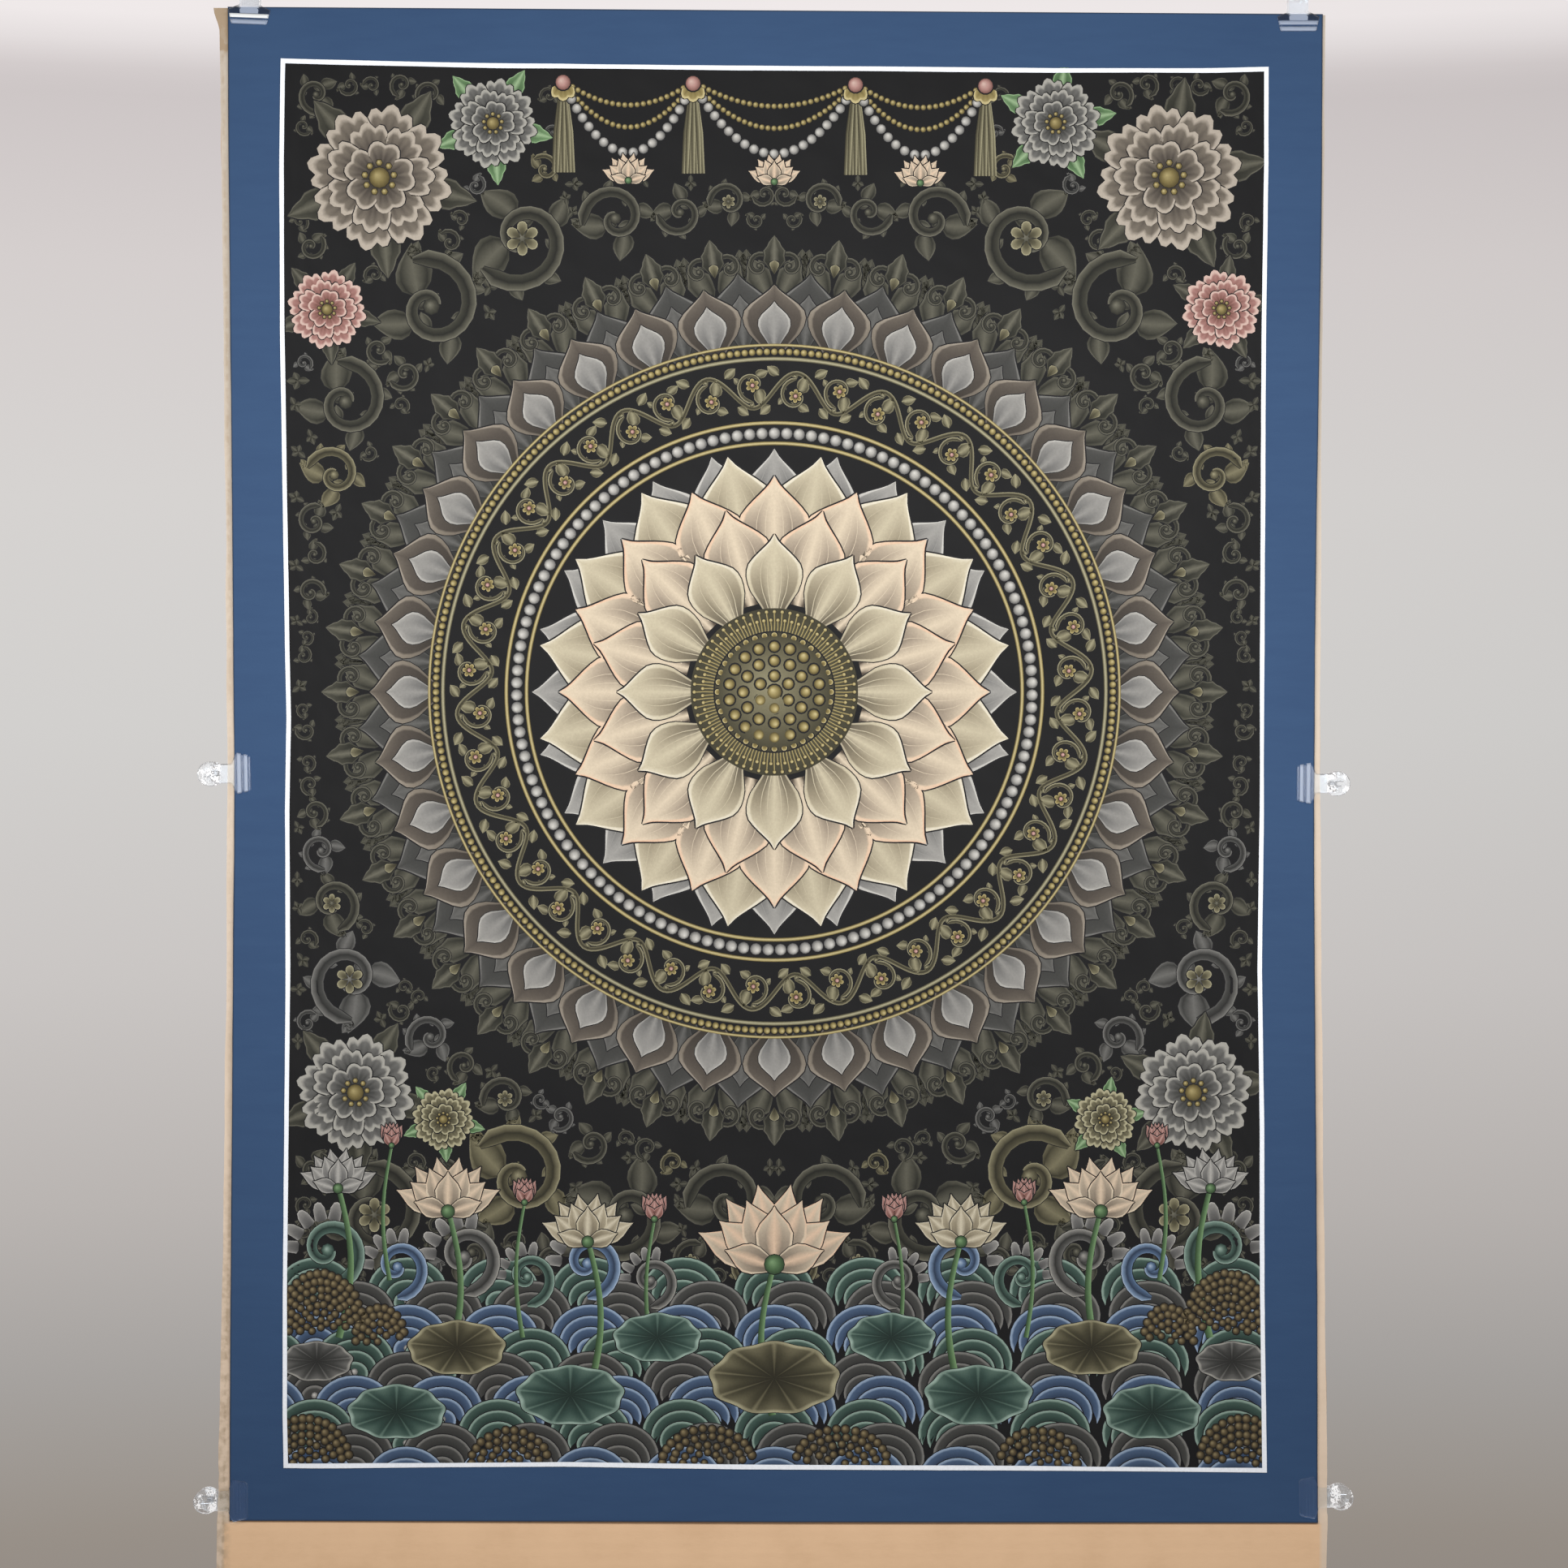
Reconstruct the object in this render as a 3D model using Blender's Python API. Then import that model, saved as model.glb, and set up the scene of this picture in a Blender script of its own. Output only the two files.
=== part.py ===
"""Painted cotton canvas held to a card backing board by six clear spring clips.

Run it with blender --background --python part.py, or from Blender's text editor.
Units are metres. +Z is up, the painted face looks along -Y and the board's back along +Y.
The origin is the middle of the board's top edge, on its back face.
"""
import math
from collections import namedtuple

import bmesh
import bpy
from mathutils import Matrix, Vector

# --- driving dimensions, in metres -------------------------------------------------------
BOARD_HEIGHT = 0.960
BOARD_THICKNESS = 0.0035
BOARD_ROWS = 24
BOW_DEPTH = 0.022             # how far the board's middle bows back from its two ends
TOP_SLOPE = 0.0066            # both top edges fall to the right, metres per metre
CANVAS_FOOT_SLOPE = 0.0020    # and so does the canvas's bottom edge, less

CANVAS_HEIGHT = 0.9011        # measured down the middle
CANVAS_THICKNESS = 0.0012     # cotton with its chalk ground and paint
CANVAS_TOP = 0.0003           # the canvas's top edge, above the board's
CANVAS_ROWS = 30
CANVAS_COLUMNS = (-1.0, -0.94, -0.86, -0.5, 0.0, 0.5, 0.86, 0.94, 1.0)
PIECE_GAP = 0.00035           # left between pieces that touch
SIDE_LIFT = 0.0015            # the side edges stand off the board between two clips
BOTTOM_LIFT = 0.0008          # and so does the free bottom edge
LIFT_BAND = 0.16              # share of the half width that lifts
GRIP_DEPTHS = (0.0, 0.457, 0.887)    # where the clips hold the side edges down
BOTTOM_LIFT_BAND = 0.05

CORNER_TEAR_LENGTH = 0.014    # the board's top left corner has torn and splayed
CORNER_TEAR_WIDTH = 0.0034

# Half widths of the two sheets to the left and right of the origin, at each depth below it.
Outline = namedtuple("Outline", "depth left right")
BOARD_OUTLINE = (
    Outline(0.000, 0.3300, 0.3297),
    Outline(0.200, 0.3296, 0.3300),
    Outline(0.450, 0.3290, 0.3304),
    Outline(0.700, 0.3302, 0.3312),
    Outline(0.840, 0.3315, 0.3320),
    Outline(0.960, 0.3320, 0.3304),
)
CANVAS_OUTLINE = (
    Outline(0.000, 0.3245, 0.3277),
    Outline(0.090, 0.3250, 0.3282),
    Outline(0.380, 0.3248, 0.3266),
    Outline(0.480, 0.3244, 0.3262),
    Outline(0.580, 0.3249, 0.3263),
    Outline(0.770, 0.3249, 0.3264),
    Outline(0.902, 0.3243, 0.3254),
)

# Clips: the edge each one grips, its place along that edge, how far in from the edge it sits
# and how far it is turned.
Clip = namedtuple("Clip", "name edge place inset turn_deg")
CLIPS = (
    Clip("top_left", "top", -0.3114, 0.0006, -2.2),
    Clip("top_right", "top", 0.3130, 0.0006, 0.0),
    Clip("mid_left", "left", -0.4540, 0.0006, 1.2),
    Clip("mid_right", "right", -0.4600, 0.0011, -0.6),
    Clip("low_left", "left", -0.8885, 0.0012, 0.8),
    Clip("low_right", "right", -0.8866, 0.0013, 0.5),
)

# One lever. u runs from the sheet's edge onto the canvas, v along the edge, w off the face.
LEVER_THICKNESS = 0.0018
JAW_TIP = 0.0098
JAW_BACK = 0.0010
JAW_TIP_HALF = 0.0106
JAW_BACK_HALF = 0.0125
NECK_HALF = 0.0058
NECK_START = -0.0006
PIVOT = -0.0125
HEAD_CENTRE = -0.0146
HEAD_RADIUS = 0.0074
HEAD_ARC_STEPS = 14
JAW_RIB_HEIGHT = 0.0010
JAW_RIB_WIDTH = 0.0027
JAW_RIBS = (0.0080, 0.0027)
GRIP_RIB_HEIGHT = 0.0005
GRIP_RIB_WIDTH = 0.0012
GRIP_RIBS = (-0.0143, -0.0168, -0.0193)
HEAD_RISE = 0.0026            # from the pivot to the head's end
CHEEK_WIDTH = 0.0016          # two round cheeks on which the levers rock
CHEEK_PLACE = 0.0042
CHEEK_SIDES = 12

# The spring between the two levers.
WIRE_RADIUS = 0.00045
COIL_RADIUS = 0.0024          # to the wire's centre
COIL_PITCH = 0.0012
COIL_TURNS = 2.5
COIL_STEPS = 10               # for each turn
LEG_LENGTH = 0.0058

STACK_HALF = (BOARD_THICKNESS + PIECE_GAP + CANVAS_THICKNESS) / 2
JAW_SEAT = STACK_HALF + PIECE_GAP
PIVOT_SEAT = COIL_RADIUS + WIRE_RADIUS + PIECE_GAP
HEAD_END = HEAD_CENTRE - HEAD_RADIUS
CHEEK_ROOT = PIVOT_SEAT + LEVER_THICKNESS * 0.4
CHEEK_RADIUS = (CHEEK_ROOT - PIECE_GAP / 2) / 2

# Linear colours, and what the light finds on each material.
Finish = namedtuple("Finish", "colour metallic roughness alpha")
FINISHES = {
    "painted_canvas": Finish((0.045, 0.088, 0.160, 1.0), 0.0, 0.78, 1.0),
    "backing_card": Finish((0.604, 0.413, 0.262, 1.0), 0.0, 0.88, 1.0),
    "clear_plastic": Finish((0.880, 0.910, 0.930, 1.0), 0.0, 0.10, 0.35),
    "spring_wire": Finish((0.520, 0.520, 0.530, 1.0), 1.0, 0.28, 1.0),
}
SHARP_ANGLE = math.radians(35)


def clear_scene():
    """Remove what the scene holds, so that only this part is in it."""
    for item in list(bpy.data.objects):
        bpy.data.objects.remove(item, do_unlink=True)


def new_collection(name):
    group = bpy.data.collections.new(name)
    bpy.context.scene.collection.children.link(group)
    return group


def surface_material(name):
    """A Principled material from the table of finishes."""
    finish = FINISHES[name]
    material = bpy.data.materials.new(name)
    material.use_nodes = True
    shader = material.node_tree.nodes["Principled BSDF"]
    shader.inputs["Base Color"].default_value = finish.colour
    shader.inputs["Metallic"].default_value = finish.metallic
    shader.inputs["Roughness"].default_value = finish.roughness
    shader.inputs["Alpha"].default_value = finish.alpha
    return material


# --- the form that board and canvas share ------------------------------------------------
def bow(z):
    """How far back the board's back face lies at height z."""
    return BOW_DEPTH * math.sin(math.pi * -z / BOARD_HEIGHT)


def bow_slope(z):
    """Change of bow for each metre downwards."""
    return BOW_DEPTH * math.pi / BOARD_HEIGHT * math.cos(math.pi * -z / BOARD_HEIGHT)


def smooth(value):
    """Ease from 0 to 1 as value goes from 0 to 1."""
    held = min(max(value, 0.0), 1.0)
    return held * held * (3.0 - 2.0 * held)


def half_widths(outline, depth):
    """The left and right half widths of a sheet at a depth, eased between its rows."""
    for upper, lower in zip(outline, outline[1:]):
        if depth <= lower.depth:
            break
    share = smooth((depth - upper.depth) / (lower.depth - upper.depth))
    left = upper.left + (lower.left - upper.left) * share
    right = upper.right + (lower.right - upper.right) * share
    return left, right


def edge_x(outline, share, depth):
    """x of the point that lies share of the way, -1 to 1, from the middle to an edge."""
    left, right = half_widths(outline, depth)
    return share * (left if share < 0 else right)


def flat_block(rows, columns):
    """A box 2 wide, 1 thick and 1 tall, cut into rows and at the given columns."""
    mesh = bmesh.new()
    bmesh.ops.create_cube(mesh, size=1.0)
    bmesh.ops.scale(mesh, vec=(2.0, 1.0, 1.0), verts=mesh.verts)
    bmesh.ops.translate(mesh, vec=(0.0, 0.0, -0.5), verts=mesh.verts)
    cuts = [((0.0, 0.0, -row / rows), (0.0, 0.0, 1.0)) for row in range(1, rows)]
    cuts += [((column, 0.0, 0.0), (1.0, 0.0, 0.0)) for column in columns[1:-1]]
    for point, normal in cuts:
        everything = mesh.verts[:] + mesh.edges[:] + mesh.faces[:]
        bmesh.ops.bisect_plane(mesh, geom=everything, plane_co=point, plane_no=normal)
    return mesh


def finish_object(name, mesh, material, group):
    """Turn a bmesh into an object of its own in the part's collection."""
    data = bpy.data.meshes.new(name)
    mesh.to_mesh(data)
    mesh.free()
    data.materials.append(material)
    item = bpy.data.objects.new(name, data)
    group.objects.link(item)
    return item


def make_board(group, material):
    """The card board: bowed, a little uneven at its sides, torn at one corner."""
    mesh = flat_block(BOARD_ROWS, (-1.0, 1.0))
    tear = -CORNER_TEAR_LENGTH / BOARD_HEIGHT
    everything = mesh.verts[:] + mesh.edges[:] + mesh.faces[:]
    bmesh.ops.bisect_plane(mesh, geom=everything, plane_co=(0, 0, tear), plane_no=(0, 0, 1))
    for vert in mesh.verts:
        share, side, down = vert.co
        depth = -down * BOARD_HEIGHT
        x = edge_x(BOARD_OUTLINE, share, depth)
        if share < 0 and depth < CORNER_TEAR_LENGTH:
            x -= CORNER_TEAR_WIDTH * (1.0 - depth / CORNER_TEAR_LENGTH)
        z = -depth - TOP_SLOPE * x * (1.0 + down)
        y = bow(-depth) - BOARD_THICKNESS * (0.5 - side)
        vert.co = (x, y, z)
    return finish_object("backing_board", mesh, material, group)


def side_lift(share, depth):
    """How far a side edge stands off the board between two clips."""
    rise = 0.0
    for upper, lower in zip(GRIP_DEPTHS, GRIP_DEPTHS[1:]):
        if upper < depth < lower:
            rise = math.sin(math.pi * (depth - upper) / (lower - upper)) ** 2
    return SIDE_LIFT * rise * smooth((abs(share) - 1.0 + LIFT_BAND) / LIFT_BAND)


def bottom_lift(share, depth):
    """How far the bottom edge stands off the board, most in its middle."""
    near = smooth(1.0 - (CANVAS_HEIGHT - depth) / BOTTOM_LIFT_BAND)
    return BOTTOM_LIFT * near * math.cos(math.pi * share / 2) ** 2


def canvas_front(share, depth):
    """The canvas's painted face: the point at a share of the width and a depth."""
    x = edge_x(CANVAS_OUTLINE, share, depth)
    fall = TOP_SLOPE + (CANVAS_FOOT_SLOPE - TOP_SLOPE) * depth / CANVAS_HEIGHT
    z = CANVAS_TOP - depth - fall * x
    off = BOARD_THICKNESS + PIECE_GAP + CANVAS_THICKNESS
    return Vector((x, bow(z) - off - side_lift(share, depth) - bottom_lift(share, depth), z))


def make_canvas(group, material):
    """The painted sheet, one piece, on the board's bow with its own lifted edges."""
    mesh = flat_block(CANVAS_ROWS, CANVAS_COLUMNS)
    for vert in mesh.verts:
        share, side, down = vert.co
        vert.co = canvas_front(share, -down * CANVAS_HEIGHT)
        vert.co.y += CANVAS_THICKNESS * (0.5 + side)
    return finish_object("painted_canvas", mesh, material, group)


# --- clips -------------------------------------------------------------------------------
def lever_seat(u):
    """Distance of a lever's inner face from the middle plane at u."""
    if u >= JAW_BACK:
        return JAW_SEAT
    if u >= PIVOT:
        share = (JAW_BACK - u) / (JAW_BACK - PIVOT)
        return JAW_SEAT + (PIVOT_SEAT - JAW_SEAT) * share
    share = (PIVOT - u) / (PIVOT - HEAD_END)
    return PIVOT_SEAT + HEAD_RISE * share


def rib_points(centre, width, height):
    """Four points of a raised rib on a lever's outer face, from the jaw outwards."""
    offsets = ((0.5, 0.0), (0.28, height), (-0.28, height), (-0.5, 0.0))
    return [
        (centre + width * along, lever_seat(centre + width * along) + LEVER_THICKNESS + up)
        for along, up in offsets
    ]


def lever_profile():
    """Side view of a lever, as points (u, w)."""
    inner = [(u, lever_seat(u)) for u in (HEAD_END, PIVOT, JAW_BACK, JAW_TIP)]
    outer = [(JAW_TIP, lever_seat(JAW_TIP) + LEVER_THICKNESS * 0.7)]
    for centre in JAW_RIBS:
        outer += rib_points(centre, JAW_RIB_WIDTH, JAW_RIB_HEIGHT)
    outer.append((PIVOT, lever_seat(PIVOT) + LEVER_THICKNESS))
    for centre in GRIP_RIBS:
        outer += rib_points(centre, GRIP_RIB_WIDTH, GRIP_RIB_HEIGHT)
    outer.append((HEAD_END, lever_seat(HEAD_END) + LEVER_THICKNESS * 0.6))
    return inner + outer


def lever_plan():
    """Front view of a lever, as points (u, v): a wide jaw, a neck and a round head."""
    half = [(JAW_TIP, JAW_TIP_HALF), (JAW_BACK, JAW_BACK_HALF), (NECK_START, NECK_HALF)]
    first = math.acos(math.sqrt(1.0 - (NECK_HALF / HEAD_RADIUS) ** 2))
    for step in range(HEAD_ARC_STEPS // 2):
        angle = first + (math.pi - first) * step / (HEAD_ARC_STEPS // 2)
        half.append((HEAD_CENTRE + HEAD_RADIUS * math.cos(angle), HEAD_RADIUS * math.sin(angle)))
    other = [(u, -v) for u, v in reversed(half)]
    return half + [(HEAD_END, 0.0)] + other


def plate_mesh(name, points, half_thickness):
    """A flat outline, filled and given its thickness by a 2D curve, as a welded mesh."""
    curve = bpy.data.curves.new(name, "CURVE")
    curve.dimensions = "2D"
    curve.fill_mode = "BOTH"
    curve.extrude = half_thickness
    line = curve.splines.new("POLY")
    line.points.add(len(points) - 1)
    for point, (x, y) in zip(line.points, points):
        point.co = (x, y, 0.0, 1.0)
    line.use_cyclic_u = True
    return welded_mesh(name, curve)


def welded_mesh(name, curve):
    """The mesh that a curve makes, with its caps welded on; the curve is removed."""
    holder = bpy.data.objects.new(name, curve)
    bpy.context.scene.collection.objects.link(holder)
    graph = bpy.context.evaluated_depsgraph_get()
    data = bpy.data.meshes.new_from_object(holder.evaluated_get(graph))
    data.name = name
    mesh = bmesh.new()
    mesh.from_mesh(data)
    bmesh.ops.remove_doubles(mesh, verts=mesh.verts, dist=0.000001)
    bmesh.ops.recalc_face_normals(mesh, faces=mesh.faces)
    mesh.to_mesh(data)
    mesh.free()
    bpy.data.objects.remove(holder, do_unlink=True)
    bpy.data.curves.remove(curve)
    return data


def add_cutter(name, data, matrix, cutters):
    """A helper solid for a Boolean, kept apart from the part and out of renders."""
    item = bpy.data.objects.new(name, data)
    item.matrix_world = matrix
    item.hide_render = True
    item.display_type = "WIRE"
    cutters.objects.link(item)
    return item


def cheek_mesh():
    """A short round bar lying along v, whose far side is sunk in a lever's inner face."""
    mesh = bmesh.new()
    bmesh.ops.create_cone(
        mesh, cap_ends=True, segments=CHEEK_SIDES, radius1=CHEEK_RADIUS,
        radius2=CHEEK_RADIUS, depth=CHEEK_WIDTH)
    bmesh.ops.rotate(mesh, matrix=Matrix.Rotation(math.pi / 2, 3, "X"), verts=mesh.verts)
    data = bpy.data.meshes.new("pivot_cheek")
    mesh.to_mesh(data)
    mesh.free()
    return data


def shade_round(data, material):
    """Give a finished mesh its one material, smooth but for its real edges."""
    data.materials.clear()
    data.materials.append(material)
    data.shade_smooth()
    data.set_sharp_from_angle(angle=SHARP_ANGLE)
    return data


def lever_mesh(cutters, material):
    """One lever for all clips: its side view cut to its front view, with two cheeks."""
    profile = plate_mesh("lever_profile", lever_profile(), JAW_BACK_HALF * 1.2)
    profile.transform(Matrix.Rotation(math.pi / 2, 4, "X"))
    plan = plate_mesh("lever_plan", lever_plan(), HEAD_RADIUS * 2)
    body = bpy.data.objects.new("lever_body", profile)
    bpy.context.scene.collection.objects.link(body)

    trim = body.modifiers.new("plan", "BOOLEAN")
    trim.operation = "INTERSECT"
    trim.object = add_cutter("lever_plan", plan, Matrix.Identity(4), cutters)
    cheek = cheek_mesh()
    for side in (-1, 1):
        place = Vector((PIVOT, side * CHEEK_PLACE, CHEEK_ROOT - CHEEK_RADIUS))
        join = body.modifiers.new("cheek", "BOOLEAN")
        join.operation = "UNION"
        join.object = add_cutter("pivot_cheek", cheek, Matrix.Translation(place), cutters)

    graph = bpy.context.evaluated_depsgraph_get()
    data = bpy.data.meshes.new_from_object(body.evaluated_get(graph))
    data.name = "clip_lever"
    bpy.data.objects.remove(body, do_unlink=True)
    return shade_round(data, material)


def spring_points():
    """The wire's centre line: a leg along one lever, the coil, a leg along the other."""
    reach = PIVOT - LEG_LENGTH
    leg_rise = lever_seat(reach) - WIRE_RADIUS - PIECE_GAP
    steps = round(COIL_TURNS * COIL_STEPS)
    side = COIL_PITCH * COIL_TURNS / 2
    points = [Vector((reach, -side, leg_rise))]
    for step in range(steps + 1):
        angle = math.tau * COIL_TURNS * step / steps
        along = -side + 2 * side * step / steps
        u = PIVOT + COIL_RADIUS * math.sin(angle)
        points.append(Vector((u, along, COIL_RADIUS * math.cos(angle))))
    points.append(Vector((reach, side, -leg_rise)))
    return points


def spring_mesh(material):
    """The bent wire as a closed tube."""
    curve = bpy.data.curves.new("clip_spring", "CURVE")
    curve.dimensions = "3D"
    curve.bevel_depth = WIRE_RADIUS
    curve.bevel_resolution = 2
    curve.use_fill_caps = True
    points = spring_points()
    wire = curve.splines.new("POLY")
    wire.points.add(len(points) - 1)
    for point, place in zip(wire.points, points):
        point.co = (*place, 1.0)
    return shade_round(welded_mesh("clip_spring", curve), material)


def clip_frame(clip):
    """The clip's axes u, v, w at its place on the canvas's edge, as a matrix."""
    if clip.edge == "top":
        height = CANVAS_TOP - TOP_SLOPE * clip.place - clip.inset
        edge = Vector((clip.place, 0.0, height))
    else:
        height = clip.place
        share = -1 if clip.edge == "left" else 1
        x = edge_x(CANVAS_OUTLINE, share, -height) - share * clip.inset
        edge = Vector((x, 0.0, height))
    edge.y = bow(height) - STACK_HALF
    slope = bow_slope(height)
    down = Vector((0.0, slope, -1.0)).normalized()
    w = Vector((0.0, -1.0, -slope)).normalized()
    u = {"top": down, "left": Vector((1, 0, 0)), "right": Vector((-1, 0, 0))}[clip.edge]
    v = w.cross(u)
    axes = Matrix((u, v, w)).transposed().to_4x4()
    turn = Matrix.Rotation(math.radians(clip.turn_deg), 4, "Z")
    return Matrix.Translation(edge) @ axes @ turn


def make_clip(clip, lever, spring, group):
    """A front lever, a rear lever turned over from it, and the spring between them."""
    seat = bpy.data.objects.new(f"clip_{clip.name}", None)
    group.objects.link(seat)
    seat.matrix_world = clip_frame(clip)
    turned_over = Matrix.Rotation(math.pi, 4, "X")
    pieces = (
        ("front_lever", lever, Matrix.Identity(4)),
        ("rear_lever", lever, turned_over),
        ("spring", spring, Matrix.Identity(4)),
    )
    for label, data, local in pieces:
        item = bpy.data.objects.new(f"clip_{clip.name}_{label}", data)
        item.parent = seat
        item.matrix_local = local
        group.objects.link(item)


def main():
    clear_scene()
    group = new_collection("thangka_painting_on_board")
    cutters = new_collection("cutters")
    finishes = {name: surface_material(name) for name in FINISHES}
    make_board(group, finishes["backing_card"])
    make_canvas(group, finishes["painted_canvas"])
    lever = lever_mesh(cutters, finishes["clear_plastic"])
    spring = spring_mesh(finishes["spring_wire"])
    for clip in CLIPS:
        make_clip(clip, lever, spring, group)


main()
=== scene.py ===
import math

import bmesh
import bpy
import numpy as np
from mathutils import Matrix, Vector


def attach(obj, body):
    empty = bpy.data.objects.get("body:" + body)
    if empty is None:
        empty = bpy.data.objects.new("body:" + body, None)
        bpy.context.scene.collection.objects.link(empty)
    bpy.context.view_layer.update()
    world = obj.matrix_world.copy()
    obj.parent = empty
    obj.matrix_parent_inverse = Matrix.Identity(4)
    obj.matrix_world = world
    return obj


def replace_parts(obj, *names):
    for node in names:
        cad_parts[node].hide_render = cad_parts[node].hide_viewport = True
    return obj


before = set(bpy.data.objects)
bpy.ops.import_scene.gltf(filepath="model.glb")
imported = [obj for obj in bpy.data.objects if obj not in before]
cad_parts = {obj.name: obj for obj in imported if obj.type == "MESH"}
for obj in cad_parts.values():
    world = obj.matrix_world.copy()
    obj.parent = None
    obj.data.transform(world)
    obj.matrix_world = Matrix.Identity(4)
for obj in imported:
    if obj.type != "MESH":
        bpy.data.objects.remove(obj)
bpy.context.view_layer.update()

bl_info = {"name": "Thangka canvas on a card board", "version": (1, 0, 0), "blender": (4, 5, 0),
           "location": "3D View > Sidebar > Thangka",
           "description": "Builds the canvas, its board, its clips and the studio round them",
           "category": "Add Mesh",}

# ---- shapes shared with the solids, in metres ---------------------------------------------------

BOARD_HEIGHT, BOARD_THICKNESS, BOW_DEPTH, TOP_SLOPE = 0.960, 0.0035, 0.022, 0.0066
CANVAS_HEIGHT, CANVAS_THICKNESS, CANVAS_TOP, PIECE_GAP = 0.9011, 0.0012, 0.0003, 0.00035
CANVAS_FOOT_SLOPE = 0.0020
CANVAS_FRONT = BOARD_THICKNESS + PIECE_GAP + CANVAS_THICKNESS    # from the board's back
HALF_STACK = CANVAS_FRONT / 2
SIDE_LIFT, LIFT_BAND, GRIP_DEPTHS = 0.0015, 0.16, (0.0, 0.457, 0.887)
BOTTOM_LIFT, BOTTOM_LIFT_BAND = 0.0008, 0.05
TEAR_LENGTH, TEAR_WIDTH = 0.014, 0.0034
BOARD_OUTLINE = ((0.0, 0.3300, 0.3297), (0.200, 0.3296, 0.3300), (0.450, 0.3290, 0.3304),
                 (0.700, 0.3302, 0.3312), (0.840, 0.3315, 0.3320), (0.960, 0.3320, 0.3304))
CANVAS_OUTLINE = ((0.0, 0.3245, 0.3277), (0.090, 0.3250, 0.3282), (0.380, 0.3248, 0.3266),
                  (0.480, 0.3244, 0.3262), (0.580, 0.3249, 0.3263), (0.770, 0.3249, 0.3264),
                  (0.902, 0.3243, 0.3254))
# name, canvas edge, place along that edge, inset from the edge, turn in degrees
CLIPS = (("top_left", "top", -0.3114, 0.0006, -2.2), ("top_right", "top", 0.3130, 0.0006, 0.0),
         ("mid_left", "left", -0.4540, 0.0006, 1.2), ("mid_right", "right", -0.4600, 0.0011, -0.6),
         ("low_left", "left", -0.8885, 0.0012, 0.8), ("low_right", "right", -0.8866, 0.0013, 0.5))

# The white line's middle, as (place along the side, distance), measured down and across the sheet.
LINE_LEFT = ((-0.0293, -0.2919), (-0.090, -0.2934), (-0.186, -0.2939), (-0.283, -0.2932),
             (-0.380, -0.2922), (-0.419, -0.2914), (-0.477, -0.2924), (-0.573, -0.2917),
             (-0.669, -0.2922), (-0.765, -0.2925), (-0.838, -0.2917), (-0.8676, -0.2908))
LINE_RIGHT = ((-0.0342, 0.2944), (-0.090, 0.2949), (-0.186, 0.2943), (-0.283, 0.2946),
              (-0.380, 0.2946), (-0.477, 0.2946), (-0.573, 0.2931), (-0.669, 0.2941),
              (-0.765, 0.2934), (-0.8703, 0.2938))
LINE_TOP = ((-0.2919, -0.0293), (-0.270, -0.0300), (-0.221, -0.0311), (-0.170, -0.0321),
            (-0.124, -0.0324), (-0.028, -0.0335), (0.068, -0.0341), (0.165, -0.0350),
            (0.262, -0.0351), (0.2944, -0.0342))
LINE_BOTTOM = ((-0.2908, -0.8676), (-0.270, -0.8678), (-0.124, -0.8668), (-0.028, -0.8683),
               (0.165, -0.8692), (0.285, -0.8702), (0.2938, -0.8703))

PICTURE_X, PICTURE_Z = 0.0010, -0.4500     # middle of the picture on the sheet
LAYER = 0.000025                           # one layer of paint above the one below


def bow(z):
    """How far the board's back stands off the straight line between its ends."""
    return BOW_DEPTH * np.sin(np.pi * -z / BOARD_HEIGHT)


def smooth(value):
    value = np.clip(value, 0.0, 1.0)
    return value * value * (3 - 2 * value)


def wander(chance, count, width, spare):
    """A hand's small errors: chance steps, each the mean of its neighbours over a width."""
    return np.convolve(chance.normal(0, 1, count + 2 * spare), np.ones(width) / width,
                       "same")[spare:-spare]


def half_width(outline, share, depth):
    """The eased half width of a sheet at each depth, to the edge on its share's side."""
    rows = np.array(outline)
    place = np.clip(np.searchsorted(rows[:, 0], depth, side="right") - 1, 0, len(rows) - 2)
    eased = smooth((depth - rows[place, 0]) / (rows[place + 1, 0] - rows[place, 0]))
    left, right = (rows[place, k] + (rows[place + 1, k] - rows[place, k]) * eased for k in (1, 2))
    return np.where(share < 0, left, right)


def edge_x(outline, share, depth):
    return share * half_width(outline, share, depth)


def canvas_lift(share, depth):
    """How far the slack canvas stands off the board between its clips and along its lower edge."""
    lift = np.zeros(np.broadcast(share, depth).shape)
    for upper, lower in zip(GRIP_DEPTHS, GRIP_DEPTHS[1:]):
        part = np.sin(np.pi * np.clip((depth - upper) / (lower - upper), 0, 1)) ** 2
        lift = lift + SIDE_LIFT * part * smooth((np.abs(share) - 1 + LIFT_BAND) / LIFT_BAND)
    lower = smooth(1 - (CANVAS_HEIGHT - depth) / BOTTOM_LIFT_BAND)
    return lift + BOTTOM_LIFT * lower * np.cos(np.pi * np.clip(share, -1, 1) / 2) ** 2


def canvas_front(share, depth):
    """Points on the front of the canvas."""
    x = edge_x(CANVAS_OUTLINE, share, depth)
    z = CANVAS_TOP - depth - (TOP_SLOPE + (CANVAS_FOOT_SLOPE - TOP_SLOPE) * depth
                              / CANVAS_HEIGHT) * x
    return np.stack([x, bow(z) - CANVAS_FRONT - canvas_lift(share, depth), z], -1)


def on_canvas(x, z, lift):
    """Points that stand lift in front of the canvas at x and z."""
    fan = 1 + (CANVAS_FOOT_SLOPE - TOP_SLOPE) * x / CANVAS_HEIGHT
    depth = np.clip((CANVAS_TOP - z - TOP_SLOPE * x) / fan, 0, CANVAS_HEIGHT)
    share = x / half_width(CANVAS_OUTLINE, x, depth)
    return np.stack([x, bow(z) - CANVAS_FRONT - canvas_lift(share, depth) - lift, z], -1)


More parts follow.
